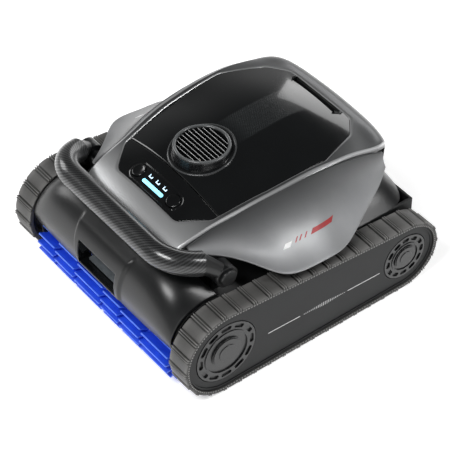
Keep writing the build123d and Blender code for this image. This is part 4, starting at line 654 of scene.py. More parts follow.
def ringGrid():
    # rays from a middle point cut the opening and the outer border; columns sit at set distances
    # from both borders, and the surface drops away near each to form the bevels
    middle = np.array(frameRing["middle"]) * mm
    outer = ringOuter() - middle
    inner = np.stack([openingOutline[:, 0],
                      skinStation(frameSkin, openingOutline[:, 0], openingOutline[:, 1])], 1) - middle
    outerAngle, innerAngle = (np.arctan2(p[:, 0], -p[:, 1]) for p in (outer, inner))
    order = np.argsort(innerAngle)
    reach = np.interp(outerAngle, innerAngle[order], np.hypot(*inner.T)[order], period=2 * np.pi)
    start = outer / np.hypot(*outer.T)[:, None] * reach[:, None]
    p0 = skinPoint(frameSkin, *(start + middle).T)
    p1 = skinPoint(frameSkin, *(outer + middle).T)
    length = np.linalg.norm(p1 - p0, axis=1)[:, None]
    near = np.array(frameRing["innerEdge"]) * mm / length
    far = 1 - np.array(frameRing["outerEdge"]) * mm / length
    fill = near[:, -1:] + (far[:, :1] - near[:, -1:]) * np.linspace(0, 1, frameRing["between"] + 2)[1:-1]
    share = np.concatenate([near, fill, far], 1)
    at = start[:, None] + share[..., None] * (outer - start)[:, None] + middle
    surface = skinPoint(frameSkin, at[..., 0], at[..., 1])
    normal = gridNormals(surface, closeRows=True)
    normal *= np.sign((normal * [0, 0, 1]).sum())
    fromOuter, fromInner = (1 - share) * length / mm, share * length / mm
    outerDrop, innerDrop, lip = (frameRing[key] for key in ("outerDrop", "innerDrop", "lip"))
    drop = np.interp(fromOuter, [0, 0.35, 5.3, 5.9], [outerDrop, outerDrop - lip, 0.05, 0])
    drop = drop + np.interp(fromInner, [0, 0.3, 1.8], [innerDrop, innerDrop - lip, 0])
    top = surface - normal * drop[..., None] * mm
    out = surface[:, -1] - surface[:, -2]
    out /= np.linalg.norm(out, axis=1, keepdims=True)
    into = surface[:, 0] - surface[:, 1]
    into /= np.linalg.norm(into, axis=1, keepdims=True)
    down, wall = np.array([0, 0, -mm]), frameRing["wall"] * mm
    outerEase, outerFoot, outerHeel = (top[:, -1] + down * depth for depth in frameRing["outerDepths"])
    innerEase, innerFoot = (top[:, 0] + down * depth for depth in frameRing["innerDepths"])
    outerWall = [outerEase, outerFoot, outerHeel - out * wall]
    innerWall = [innerFoot - into * wall, innerFoot, innerEase]
    under = (surface - normal * (wall + frameRing["underGap"] * mm))[:, ::-1][:, 3:-3]
    points = np.concatenate([np.stack(innerWall, 1), top, np.stack(outerWall, 1), under], 1)
    paintedLightShade = np.zeros(points.shape[:2])
    first = len(innerWall)
    # painted highlights: a bright band along the outer bevel and a fainter one at the inner edge
    paintedEdgeHighlight = np.interp(fromOuter, [0.3, 0.6, 5.0, 5.7], [0.2, 1, 1, 0]) * frameRing["bandHighlight"]
    paintedEdgeHighlight = np.maximum(paintedEdgeHighlight, np.interp(fromInner, [0, 0.4, 1.5, 2.2], [0.5, 0.9, 0.6, 0]) * 0.7)
    # painted light: the frame grows paler towards the front, where light falls on the apron
    front = smoothStep(-top[..., 1] / mm, frameRing["paintedLightFrom"], frameRing["paintedLightTo"]) * frameRing["paintedFrontLight"]
    paintedLightShade[:, first:first + share.shape[1]] = np.maximum(paintedEdgeHighlight, front)
    return points, paintedLightShade


ringPoints, ringPaintedLight = ringGrid()
buildPiece("frameShell", [gridPatch(ringPoints, closeRows=True, closeCols=True, paintedLightShade=ringPaintedLight)],
           "lacquer", "chassis", ["top_frame"], sharp=30)


def halfWidthAt(outline, y):
    # half width of a symmetric outline at y, from its right-hand points beyond 40 mm
    chosen = outline[outline[:, 0] > 40 * mm]
    order = np.argsort(chosen[:, 1])
    return np.interp(y, chosen[order, 1], chosen[order, 0])


lid = {"seamY": -87.0, "rear": 166.0, "inset": 0.9, "notchHalf": 48.0, "notchY": 151.0, "hole": 37.6,
       "grilleY": -39.6, "columns": 170, "rows": 150, "wall": 3.0, "lipWall": 1.0, "lipDepth": 5.5,
       "spread": 0.93, "crowding": 1.5, "notchEase": (2.5, -3.5)}
lidOutline = outlineOffset(openingOutline, -lid["inset"] * mm)


def lidGrid():
    # x runs across the outline's width at y, y runs from the seam to the rear edge, closer
    # together at the end; the notch pulls the rear edge forward with a smooth step
    reach = np.pi / 2 * lid["spread"]
    u = np.sin(np.linspace(-1, 1, lid["columns"]) * reach) / math.sin(reach)
    v = 1 - (1 - np.linspace(0, 1, lid["rows"])) ** lid["crowding"]
    seam, rearY = lid["seamY"] * mm, (lid["rear"] - lid["inset"]) * mm - 1e-6
    y = seam + v[:, None] * (rearY - seam) + 0 * u
    x = u * halfWidthAt(lidOutline, y)
    notch = smoothStep(np.abs(x) / mm, *(lid["notchHalf"] + ease for ease in lid["notchEase"]))
    end = rearY - notch * (rearY - lid["notchY"] * mm)
    y = seam + (y - seam) * (end - seam) / (rearY - seam)
    points = np.stack([x, y, skinHeight(lidSkin, x, y)], -1)
    centre = (points[:-1, :-1] + points[1:, 1:]) / 2
    keep = np.hypot(centre[..., 0], centre[..., 1] - lid["grilleY"] * mm) > lid["hole"] * mm
    return points, keep


lidPoints, lidKeep = lidGrid()
lipShare = np.where(lidPoints[..., 1] < (lid["seamY"] + lid["lipDepth"]) * mm,
                    lid["lipWall"] / lid["wall"], 1.0).ravel()
buildPiece("lidShell", [gridPatch(lidPoints, keep=lidKeep, facing=(0, 0, 1))], "lidGloss", "lid",
           ["lid"], wall=lid["wall"], wallShare=lipShare)

panel = {"rearY": -88.2, "frontY": -133.6, "inset": 0.36, "columns": 210, "rows": 90, "wall": 2.6,
         "buttonX": 38.5, "buttonY": -117.0, "wellRadius": 10.6, "wellDepth": 3.4, "wellEase": (0.01, 0.6),
         "snap": 0.34, "pillHalf": 13.2, "pillY": -117.5, "pillDepth": 0.35, "pillEase": 0.6,
         "groove": 0.7, "grooveDepth": 0.55, "crowding": 1.25}
panelOutline = outlineOffset(openingOutline, -panel["inset"] * mm)


def panelGrid():
    # the lid's skin carried on forward, with a well for each button and a pill-shaped line round them
    u = np.linspace(-1, 1, panel["columns"])
    v = np.linspace(0, 1, panel["rows"]) ** panel["crowding"]
    front, rear = panel["frontY"] * mm, panel["rearY"] * mm
    y = front + v[:, None] * (rear - front) + 0 * u
    x = u * halfWidthAt(panelOutline, y)
    away = np.stack([np.abs(x) - panel["buttonX"] * mm, y - panel["buttonY"] * mm])
    fromButton = np.hypot(*away)
    rim = panel["wellRadius"] * mm
    snapped = np.where(np.abs(fromButton - rim) < panel["snap"] * mm, rim, fromButton)
    away *= snapped / fromButton
    x = np.where(x < 0, -1, 1) * (panel["buttonX"] * mm + away[0])
    y = panel["buttonY"] * mm + away[1]
    z = skinHeight(lidSkin, x, y)
    well = smoothStep(snapped, *(rim - ease * mm for ease in panel["wellEase"]))
    z = z - well * panel["wellDepth"] * mm
    beyond = np.maximum(np.abs(x) / mm - panel["buttonX"], 0)
    fromPill = np.hypot(beyond, y / mm - panel["pillY"]) - panel["pillHalf"]
    z = z - np.exp(-(fromPill / panel["groove"]) ** 2) * panel["grooveDepth"] * mm
    z = z - smoothStep(fromPill, panel["pillEase"], -panel["pillEase"]) * panel["pillDepth"] * mm
    return np.stack([x, y, z], -1)


buildPiece("controlPanel", [gridPatch(panelGrid(), facing=(0, 0, 1))], "panelGloss", "chassis",
           ["control_panel"], wall=panel["wall"], sharp=30)

button = {"place": (38.5, -117.0, 207.0), "axis": (0.09, -0.33, 0.94),
          "profile": [(0.2, 0.15), (5.5, 0.2), (7.6, 0.5), (8.6, 0.75), (9.3, 0.7), (9.8, 0.3), (10.0, -0.4),
                      (10.0, -3.0), (0.2, -3.0)]}
for side, name in ((1, "right"), (-1, "left")):
    place = np.array(button["place"]) * [side, 1, 1]
    axis = np.array(button["axis"]) * [side, 1, 1]
    buildPiece(f"button_{name}_cap", [lathePatch(button["profile"], place, axis, 64)], "panelGloss",
               f"button_{name}", [f"button_{name}"], sharp=50)

lights = {"barHalf": 22.0, "barRound": 2.6, "barY": -122.5, "iconX": (-15.6, 0.0, 15.6), "iconY": -112.6,
          "iconWide": 2.9, "iconTall": 1.9, "stroke": 0.55}


def onPanel(x, y, lift):
    return np.stack([x, y, skinHeight(lidSkin, x, y) + lift * mm], -1)


def litBarPatch():
    # rings of a slot outline shrinking towards its middle line, laid on the skin, domed a little
    turn = np.linspace(0, 2 * np.pi, 72, endpoint=False)
    sideways = np.sign(np.cos(turn)) * (lights["barHalf"] - lights["barRound"])
    rings = []
    for share, lift in ((1.0, -2.0), (1.0, 0.0), (0.9, 0.16), (0.5, 0.26), (0.06, 0.3)):
        x = (sideways + np.cos(turn) * lights["barRound"] * share) * mm
        y = (lights["barY"] + np.sin(turn) * lights["barRound"] * share) * mm
        rings.append(onPanel(x, y, lift))
    return gridPatch(np.array(rings), closeCols=True, caps=True, facing=(0, 0, 1))


def iconPatch(centreX):
    # an open bracket: a square-ended stroke carried down, along and up again
    w, h = lights["iconWide"], lights["iconTall"]
    path = np.array([(-w, h), (-w, -h), (w, -h), (w, h * 0.25)]) + [centreX, lights["iconY"]]
    along = np.array([(0, -1), (1, -1), (1, 1), (0, 1)]) * lights["stroke"]
    sideways = np.stack([-along[:, 1], along[:, 0]], 1)
    sideways[[0, -1]] = [(lights["stroke"], 0), (-lights["stroke"], 0)]
    section = np.array([(-1, -1.6), (-1, 0.1), (1, 0.1), (1, -1.6)])
    flat = path[:, None] + section[None, :, :1] * sideways[:, None]
    surface = onPanel(flat[..., 0] * mm, flat[..., 1] * mm, 0)
    surface[..., 2] += section[None, :, 1] * mm
    return gridPatch(surface, closeCols=True, caps=True)


buildPiece("statusBar", [litBarPatch()], "litBar", "chassis", ["panel_lights"], sharp=60)
buildPiece("statusIcons", [iconPatch(x) for x in lights["iconX"]], "litIcon", "chassis")
print("top shell built")

grille = {"centre": (0.0, -39.6), "slats": 10, "slatHalf": 0.45, "slatTop": 237.6, "slatFoot": 232.6,
          "inner": 34.3}
# (radius, how much of the lid's height it takes, millimetres above that or above the floor, share of the
# painted highlight)
ringProfile = [
    (47.2, 1, -1.2, 0), (47.2, 1, 1.0, 0), (46.7, 1, 2.0, 0.35), (45.8, 1, 2.3, 0.5), (44.6, 1, 1.9, 0.1),
    (43.4, 1, 0.8, 0), (41.6, 1, 0.9, 0), (40.7, 0.5, 116.4, 0), (40.2, 0, 235.0, 0), (40.0, 0, 237.4, 0.1),
    (39.6, 0, 238.9, 0.5), (38.8, 0, 239.7, 0.9), (37.6, 0, 240.0, 1.0), (36.2, 0, 239.7, 0.8),
    (35.2, 0, 238.9, 0.3), (34.6, 0, 237.4, 0), (34.4, 0, 232.0, 0), (34.4, 0.5, 113.0, 0), (35.4, 1, -4.0,
                                                                                             0), (40.0, 1,
                                                                                                  -4.0, 0)]


def grilleRingPatch():
    # a lathed profile whose lower points ride on the lid's skin and whose upper points are level
    turn = np.linspace(0, 2 * np.pi, 192, endpoint=False)
    # the last column paints a highlight along the crests of the two rims
    radius, share, rise, paintedLightShade = np.array(ringProfile).T
    x = radius[:, None] * np.cos(turn) * mm
    y = (grille["centre"][1] + radius[:, None] * np.sin(turn)) * mm
    z = share[:, None] * skinHeight(lidSkin, x, y) + rise[:, None] * mm
    return gridPatch(np.stack([x, y, z], -1), closeRows=True, closeCols=True, paintedLightShade=paintedLightShade[:, None])


buildPiece("grilleRing", [grilleRingPatch()], "ringAbs", "lid", ["grille_ring"], sharp=45)


def slatPatches():
    # thin bars on chords of the ring, each with a rounded top
    pitch = 2 * grille["inner"] / (grille["slats"] + 1)
    h, top, foot = grille["slatHalf"], grille["slatTop"], grille["slatFoot"]
    section = np.array([(-h, foot), (-h, top - 0.5), (-h * 0.6, top - 0.1), (0, top), (h * 0.6, top - 0.1),
                        (h, top - 0.5), (h, foot)])
    patches = []
    for k in range(grille["slats"]):
        across = (k + 1) * pitch - grille["inner"]
        half = math.sqrt(grille["inner"] ** 2 - across ** 2) + 0.25
        patch = barPatch((section + [grille["centre"][1] + across, 0]) * mm, -half * mm, half * mm)
        # painted highlight: the points of each rounded top take the pale colour
        patch["paintedLightShade"] = np.tile([0, 0, 1.0, 1.0, 1.0, 0, 0], 6)
        patches.append(patch)
    return patches


buildPiece("grilleSlats", slatPatches(), "slatAluminium", "lid", ["grille_slats"], sharp=50)
print("grille built")

# table rows, front to rear: y, then x and z of the crease, then x and z of the lip
wing = {"table": [
    (-143, 103.4, 189.5, 111, 184.5), (-127, 105.2, 195.5, 123, 181), (-101, 108.2, 203, 144, 176),
    (-77, 113, 210, 168, 166), (-55, 116.8, 216, 189, 155), (-36, 119.4, 219.5, 197, 150.5),
    (0, 123.2, 223.5, 198.5, 146), (34, 125.4, 225, 197, 143.5), (60, 126.8, 224.5, 190, 141),
    (86, 128, 223, 178, 144), (122, 128.2, 216, 160, 152.5), (156, 126.4, 205, 143.5, 163),
    (176, 123.6, 194.5, 131, 172)],
    "seam": 0.9, "hollow": 0.085, "middleAt": 0.42, "rows": 150, "across": 34,
    "wall": 3.0, "lower": 1.6, "ease": (0.5, 0.12), "lipReach": 0.9, "creaseShade": 0.9}


def wingCurve(y, v, lift=0.0):
    # (x, z) on a quadratic through crease, hollowed middle and lip, v from 0 to 1, and its normal
    table = np.array(wing["table"], float) * mm
    x0, z0, x1, z1 = np.moveaxis(splineThrough(table[:, 0], table[:, 1:], y), -1, 0)
    x0 = np.maximum(x0, creaseX(y) + wing["seam"] * mm)
    z0 = z0 - wing["lower"] * mm
    chord = np.hypot(x1 - x0, z1 - z0)
    sag = wing["hollow"] * chord
    m = wing["middleAt"]
    xm = x0 + m * (x1 - x0) + sag * (z1 - z0) / chord
    zm = z0 + m * (z1 - z0) - sag * (x1 - x0) / chord
    b0, bm, b1 = (v - m) * (v - 1) / m, v * (v - 1) / (m * (m - 1)), v * (v - m) / (1 - m)
    d0, dm, d1 = (2 * v - 1 - m) / m, (2 * v - 1) / (m * (m - 1)), (2 * v - m) / (1 - m)
    x, z = b0 * x0 + bm * xm + b1 * x1, b0 * z0 + bm * zm + b1 * z1
    dx, dz = d0 * x0 + dm * xm + d1 * x1, d0 * z0 + dm * zm + d1 * z1
    size = np.hypot(dx, dz)
    nx, nz = -dz / size, dx / size
    return np.stack([x + nx * lift * mm, y + 0 * x, z + nz * lift * mm], -1), np.stack([nx, 0 * nx, nz], -1)


def wingPatch():
    # closed section: top face, half-round lip, underside
    y = np.linspace(wing["table"][0][0], wing["table"][-1][0], wing["rows"])[:, None] * mm
    v = np.linspace(0, 1, wing["across"])[None, :]
    top, normal = wingCurve(y + 0 * v, v + 0 * y)
    under = top - normal * wing["wall"] * mm
    ease = np.array(wing["ease"])  # the upper edge is eased by the crease
    top[:, :2] -= normal[:, :2] * ease[None, :, None] * mm
    n, t = normal[:, -1:], np.stack([normal[:, -1:, 2], 0 * normal[:, -1:, 0], -normal[:, -1:, 0]], -1)
    turn = np.linspace(0, np.pi, 9)[1:-1][None, :, None]
    bulge = n * np.cos(turn) + wing["lipReach"] * t * np.sin(turn)
    lip = (top[:, -1:] + under[:, -1:]) / 2 + wing["wall"] / 2 * mm * bulge
    points = np.concatenate([top, lip, under[:, ::-1]], 1)
    paintedLightShade = np.zeros(points.shape[:2])
    # painted shade: the top face darkens towards the crease
    paintedLightShade[:, :wing["across"]] = wing["creaseShade"] * (1 - smoothStep(v, -0.1, 0.8)) * np.ones_like(y)
    return gridPatch(points, closeCols=True, caps=True, paintedLightShade=paintedLightShade)


buildPair("wingShell", [wingPatch()], "wingLacquerPaintedLightShade", "wing", sharp=50)

stripe = {"long": (14.0, 53.0), "vLow": 0.66, "vHigh": 0.60, "slant": 7.0, "ticks": (3.0, -6.0, -13.0),
          "tickLong": 2.4, "dashY": (-33.0, -22.0), "dashShift": 0.02, "lift": 0.06}


def wingDecal(y0, y1, shift):
    # a slanted four-sided patch in the wing's own two directions, a hair above it
    s, q = np.meshgrid(np.linspace(0, 1, 14), np.linspace(0, 1, 5), indexing="ij")
    y = (y0 + s * (y1 - y0) + q * stripe["slant"]) * mm
    v = stripe["vLow"] + shift + q * (stripe["vHigh"] - stripe["vLow"])
    top, _ = wingCurve(y, v, stripe["lift"])
    return gridPatch(top, facing=(1, 0, 1))


redSpans = [stripe["long"]] + [(y, y + stripe["tickLong"]) for y in stripe["ticks"]]
redPatches = [wingDecal(y0, y1, 0) for y0, y1 in redSpans]
whitePatches = [wingDecal(*stripe["dashY"], stripe["dashShift"])]
for side, turnOver in (("right", lambda p: p), ("left", mirrorPatch)):
    buildPiece(f"redStripe_{side}", [turnOver(p) for p in redPatches], "redInk", "chassis")
    buildPiece(f"whiteDash_{side}", [turnOver(p) for p in whitePatches], "whiteInk", "chassis")
print("wings built")

fairing = {"skin": makeSkin([
    (0, [(-212, 80), (-217, 106), (-212, 136), (-197, 158), (-174, 168), (-150, 167)]),
    (100, [(-212, 80), (-217, 106), (-212, 136), (-197, 158), (-174, 167), (-150, 165)]),
    (135, [(-211, 80), (-216, 103), (-210, 130), (-194, 149), (-170, 157), (-146, 155)]),
    (159, [(-210, 80), (-213, 96), (-204, 116), (-186, 132), (-160, 139), (-134, 138)])]),
    "half": 159.0, "noseLow": 88.0, "noseHigh": 160.0, "noseWide": 58.0, "noseNarrow": 50.0, "rise": 3.6,
    "recessHalf": 42.0, "recessLow": 94.0, "recessHigh": 132.0, "recessBack": -198.0,
    "sleeveGap": 0.4, "sleeveRings": 8, "wall": 2.6}


def noseRise(x, z):
    # the nose stands proud inside a trapezium, with soft shoulders
    low, high, narrow, wide = (fairing[key] for key in ("noseLow", "noseHigh", "noseNarrow", "noseWide"))
    half = narrow + (z / mm - low) / (high - low) * (wide - narrow)
    sideways = smoothStep(np.abs(x) / mm - half, 1.5, -3.5)
    upright = smoothStep(z / mm, low - 2, low + 3) * smoothStep(z / mm, high + 3, high - 10)
    return fairing["rise"] * sideways * upright


def fairingSurface(x, t):
    points = skinPoint(fairing["skin"], x, t)
    normal = gridNormals(points)
    normal *= np.sign((normal * [0, -1, 1]).sum())
    return points + normal * noseRise(x, points[..., 2])[..., None] * mm


def stationAtHeight(z):
    t = np.linspace(0, fairing["skin"]["knots"][-1], 400)
    line = skinPoint(fairing["skin"], np.full_like(t, 0.02), t)[:, 2]
    top = int(np.argmax(line))
    return np.interp(z, line[:top], t[:top])


def fairingPatches():
    # columns fall exactly on the recess's sides and rows on its sill and head; the recess is
    # a rectangular sleeve run back from the surface
    edge, near = fairing["recessHalf"], fairing["noseWide"]
    half = np.concatenate([np.linspace(0, edge, 12), np.linspace(edge, near + 4, 14)[1:],
                           np.linspace(near + 4, fairing["half"], 46)[1:]])
    x = np.concatenate([-half[::-1], half[1:]]) * mm
    low, high = stationAtHeight(fairing["recessLow"] * mm), stationAtHeight(fairing["recessHigh"] * mm)
    end = fairing["skin"]["knots"][-1]
    t = np.concatenate([np.linspace(0, low, 14), np.linspace(low, high, 16)[1:],
                        np.linspace(high, end, 46)[1:]])
    xs, ts = np.meshgrid(x, t, indexing="ij")
    points = fairingSurface(xs, ts)
    middleX, middleT = ((grid[:-1, :-1] + grid[1:, 1:]) / 2 for grid in (xs, ts))
    hole = (np.abs(middleX) < edge * mm) & (middleT > low) & (middleT < high)
    shell = gridPatch(points, keep=~hole, facing=(0, -1, 1))
    ix = np.flatnonzero(np.abs(x) <= edge * mm + 1e-9)
    it = np.flatnonzero((t >= low - 1e-9) & (t <= high + 1e-9))
    loop = np.concatenate([points[ix, it[0]], points[ix[-1], it][1:], points[ix[::-1], it[-1]][1:],
                           points[ix[0], it[::-1]][1:-1]])
    backLoop = loop.copy()
    backLoop[:, 1] = (fairing["recessBack"] - fairing["sleeveGap"]) * mm
    ways = np.linspace(0, 1, fairing["sleeveRings"])[:, None, None]
    sleeve = loop[None] * (1 - ways) + backLoop[None] * ways
    inward = sleeve.mean(1, keepdims=True) - sleeve
    patch = gridPatch(sleeve, closeCols=True)
    first = np.array(patch["faces"][0])
    corner = patch["points"][first]
    face = np.cross(corner[2] - corner[0], corner[3] - corner[1])
    if (face * inward.reshape(-1, 3)[first].mean(0)).sum() < 0:
        patch["faces"] = [f[::-1] for f in patch["faces"]]
    return shell, patch


fairingShell, recessSleeve = fairingPatches()
buildPiece("frontFairing", [fairingShell], "bodyAbs", "chassis", ["front_fairing", "nose_cover"],
           wall=fairing["wall"])
buildPiece("recessSleeve", [recessSleeve], "panelGloss", "chassis", sharp=30)

trim = {"profile": [(-2.6, -1.6), (0.6, -1.8), (1.5, -2.4), (1.9, -3.6), (1.2, -4.4), (1.1, -4.9), (1.8, -5.6),
                    (1.9, -6.8), (1.1, -7.6), (1.0, -8.1), (1.6, -8.8), (1.4, -10.4), (0.3, -11.4), (-2.6,
                                                                                                     -11.4)],
        "rearY": -150.0, "spacing": 0.8, "sortY": -50.0}


def trimPatch():
    # a grooved strip carried along the frame's front edge and round its two front corners
    border = ringOuter()
    edge = skinPoint(frameSkin, border[:, 0], border[:, 1])
    chosen = edge[edge[:, 1] < trim["rearY"] * mm]
    chosen = chosen[np.argsort(np.arctan2(chosen[:, 0], -(chosen[:, 1] - trim["sortY"] * mm)))]
    steps = np.linalg.norm(np.diff(chosen, axis=0), axis=1)
    chosen = chosen[np.concatenate([[True], steps > trim["spacing"] * mm])]
    along = np.gradient(chosen, axis=0)
    out = np.stack([along[:, 1], -along[:, 0], 0 * along[:, 0]], 1)
    out /= np.linalg.norm(out, axis=1, keepdims=True)
    out *= np.sign(out[len(out) // 2, 1]) * -1
    profile = np.array(trim["profile"]) * mm
    rise = profile[None, :, 1:] * np.array([0, 0, 1.0])
    points = chosen[:, None] + profile[None, :, :1] * out[:, None] + rise
    return gridPatch(points, closeCols=True, caps=True)


buildPiece("apronTrim", [trimPatch()], "bodyAbs", "chassis", sharp=40)
print("fairing built")

handle = {"gripY": -189.0, "gripZ": 199.0, "armX": 140.0, "armY": -147.0, "armZ": 188.0, "bend": 52.0,
          "turn": 70.0, "radius": 17.0, "tows": 80, "slotX": (-62.0, 2.0),
          "slotTurn": 100.0, "slotSpread": 0.045, "slotHalf": 4.2, "slotLift": 0.05}


def handlePath():
    # half the grip in its own plane: straight run, arc, short tail; then its mirror image
    tilt = math.atan2(handle["gripZ"] - handle["armZ"], handle["armY"] - handle["gripY"])
    turn, bend = math.radians(handle["turn"]), handle["bend"]
    reach = (handle["armY"] - handle["gripY"]) / math.cos(tilt)
    tail = (reach - bend * (1 - math.cos(turn))) / math.sin(turn)
    half = handle["armX"] - bend * math.sin(turn) - tail * math.cos(turn)
    angle = np.linspace(0, turn, 30)[1:]
    arc = np.stack([half + bend * np.sin(angle), bend * (1 - np.cos(angle))], 1)
    last = arc[-1] + np.linspace(0, 1, 8)[1:, None] * (np.array([handle["armX"], reach]) - arc[-1])
    run = np.stack([np.linspace(0, half, 40), np.zeros(40)], 1)
    side = np.concatenate([run, arc, last])
    flat = np.concatenate([(side * [-1, 1])[::-1], side[1:]])
    tangent = np.gradient(flat, axis=0)
    tangent /= np.linalg.norm(tangent, axis=1, keepdims=True)
    sideways = np.stack([-tangent[:, 1], tangent[:, 0]], 1)
    axisY = np.array([0, math.cos(tilt), -math.sin(tilt)])
    up = np.array([0, math.sin(tilt), math.cos(tilt)])
    origin = np.array([0, handle["gripY"], handle["gripZ"]])

    def inPlane(p):
        return p[:, :1] * np.array([1.0, 0, 0]) + p[:, 1:] * axisY
    return (origin + inPlane(flat)) * mm, inPlane(sideways), np.broadcast_to(up, (len(flat), 3))


gripPath, gripSide, gripUp = handlePath()
towWidth = 2 * math.pi * handle["radius"] / handle["tows"] * mm
buildPiece("carbonGrip", [tubeAlong(gripPath, gripSide, gripUp, handle["radius"] * mm, handle["tows"],
                                    72, towWidth)],
           "carbonTwill", "handle", ["handle_grip"], sharp=60)


def gripSlotPatch(centreX):
    # a short flat-topped inlay bent round the grip's upper front
    s, q = np.meshgrid(np.linspace(-1, 1, 10), np.linspace(-1, 1, 7), indexing="ij")
    around = math.radians(handle["slotTurn"]) + q * handle["slotSpread"]
    x = (centreX + s * handle["slotHalf"] * np.sqrt(np.clip(1.02 - q ** 2 * 0.6, 0, 1))) * mm
    radius = (handle["radius"] + handle["slotLift"]) * mm
    y = handle["gripY"] * mm + np.cos(around) * radius
    z = handle["gripZ"] * mm + np.sin(around) * radius
    return gridPatch(np.stack([x, y, z], -1), facing=(0, -0.2, 1))


buildPiece("gripSlots", [gripSlotPatch(x) for x in handle["slotX"]], "sealRubber", "handle")
print("handle built")

belt = {"frontY": -150.0, "rearY": 162.0, "frontRadius": 71.0, "rearRadius": 59.0, "ridge": 3.6,
        "inner": 163.6, "lugs": 40, "ribHighlight": 0.75, "toothPitch": 4.6, "toothOut": 0.85, "toothAt": 35.46,
        "toothShares": (0.0, 0.06, 0.52, 0.58), "toothRows": (-1.72, -1.9, -3.75, -3.95), "toothHighlight": 0.8}
# one lug: share of the pitch and rise in millimetres
lugProfile = [(0.000, 0.0), (0.010, 1.1), (0.028, 1.7), (0.055, 1.9), (0.34, 2.0), (0.625, 1.9), (0.652, 1.7),
              (0.670, 1.1), (0.680, 0.0), (0.7367, 0.0), (0.741, 2.6), (0.754, 3.45), (0.774, 3.6),
              (0.794, 3.45), (0.8073, 2.6), (0.8117, 0.0), (0.8684, 0.0), (0.8727, 2.6), (0.886, 3.45),
              (0.906, 3.6), (0.926, 3.45), (0.939, 2.6), (0.9434, 0.0)]
# (way across, 1 if it goes up with the lug, millimetres, how much of the painted highlight it takes)
beltSection = [(0, 0, -4.0, 0), (0, 0, -1.0, 0), (0, 1, -0.95, 0), (0.35, 1, -0.25, 1), (1.1, 1, 0, 1),
               (9, 1, 0, 0.5), (18.2, 1, 0, 0.4), (27.4, 1, 0, 0.5), (35.3, 1, 0, 1), (36.05, 1, -0.25, 1),
               (36.4, 1, -0.95, 0.6),
               (36.4, 0, -1.0, 0.6), (36.4, 0, -1.5, 0), (35.4, 0, -1.7, 0), (35.4, 0, -4.0, 0)]


def loopAt(station):
    # lower run, rear arc, upper run, front arc: the point on the band's outer face and its normal
    front, rear = belt["frontRadius"], belt["rearRadius"]
    base = belt["rearY"] - belt["frontY"]
    drop = front - rear
    upper = math.atan2(-drop, base) + math.acos(drop / math.hypot(base, drop))
    rf, rr = front - belt["ridge"], rear - belt["ridge"]
    arcRear, arcFront = rr * (upper + math.pi / 2), rf * (3 * math.pi / 2 - upper)
    total = 2 * base + arcRear + arcFront
    s = np.mod(station, 1.0) * total
    marks = np.cumsum([base, arcRear, base, arcFront])
    which = np.searchsorted(marks, s, side="right").clip(0, 3)
    turn = np.select([which == 0, which == 1, which == 2], [
        -math.pi / 2 + 0 * s, (s - marks[0]) / rr - math.pi / 2, upper + 0 * s], upper + (s - marks[2]) / rf)
    n = np.stack([np.cos(turn), np.sin(turn)], -1)
    rearCentre, frontCentre = np.array([belt["rearY"], rear]), np.array([belt["frontY"], front])
    onRear, onFront = rearCentre + rr * n, frontCentre + rf * n
    along = ((s - marks[1]) / base)[..., None]
    lower = np.stack([belt["frontY"] + s, belt["ridge"] + 0 * s], -1)
    w = which[..., None]
    higher = onRear * (1 - along) + onFront * along
    point = np.where(w == 0, lower, np.where(w == 1, onRear, np.where(w == 2, higher, onFront)))
    return point, n, total


def beltPatches():
    share, rise = np.array(lugProfile).T
    stations = ((np.arange(belt["lugs"])[:, None] + share) / belt["lugs"]).ravel()
    rise = np.tile(rise, belt["lugs"])[:, None]
    point, normal, total = loopAt(stations)
    across, follows, lift, highlightShare = np.array(beltSection).T
    height = follows * rise + lift
    yz = point[:, None] + height[..., None] * normal[:, None]
    x = np.broadcast_to(belt["inner"] + across, height.shape)[..., None]
    # painted highlight: paler with height on the lugs, most along the tread's edges
    paintedLightShade = np.clip(rise / belt["ridge"], 0, 1) * highlightShare * follows * belt["ribHighlight"]
    tread = gridPatch(np.concatenate([x, yz], -1) * mm, closeRows=True, closeCols=True, paintedLightShade=paintedLightShade)
    teeth = int(round(total / belt["toothPitch"]))
    steps = ((np.arange(teeth)[:, None] + np.array(belt["toothShares"])) / teeth).ravel()
    out = np.tile([0.0, 1.0, 1.0, 0.0], teeth)[:, None]
    point, normal, _ = loopAt(steps)
    height = np.array(belt["toothRows"])
    raised = np.array([0.0, 1.0, 1.0, 0.0])
    yz = point[:, None] + height[None, :, None] * normal[:, None]
    x = (belt["inner"] + belt["toothAt"] + out * raised * belt["toothOut"])[..., None]
    # painted highlight on the raised side teeth
    side = gridPatch(np.concatenate([x, yz], -1) * mm, closeRows=True, facing=(1, 0, 0),
                     paintedLightShade=belt["toothHighlight"] * out * raised)
    return [tread, side]


buildPair("treadBelt", beltPatches(), "beltRubber", "belt", sharp=35)

sideLine = {"x": 196.06, "start": (-79.2, 59.7), "end": (117.3, 52.9), "lines": ((0.0, 0.278), (0.705, 1.0)),
            "half": 0.55, "ticks": 24, "tickRange": (0.315, 0.675), "tickShare": 0.002, "tickLow": 0.9,
            "tickRise": 2.4, "peakAt": 0.495, "peakSpread": 0.09}


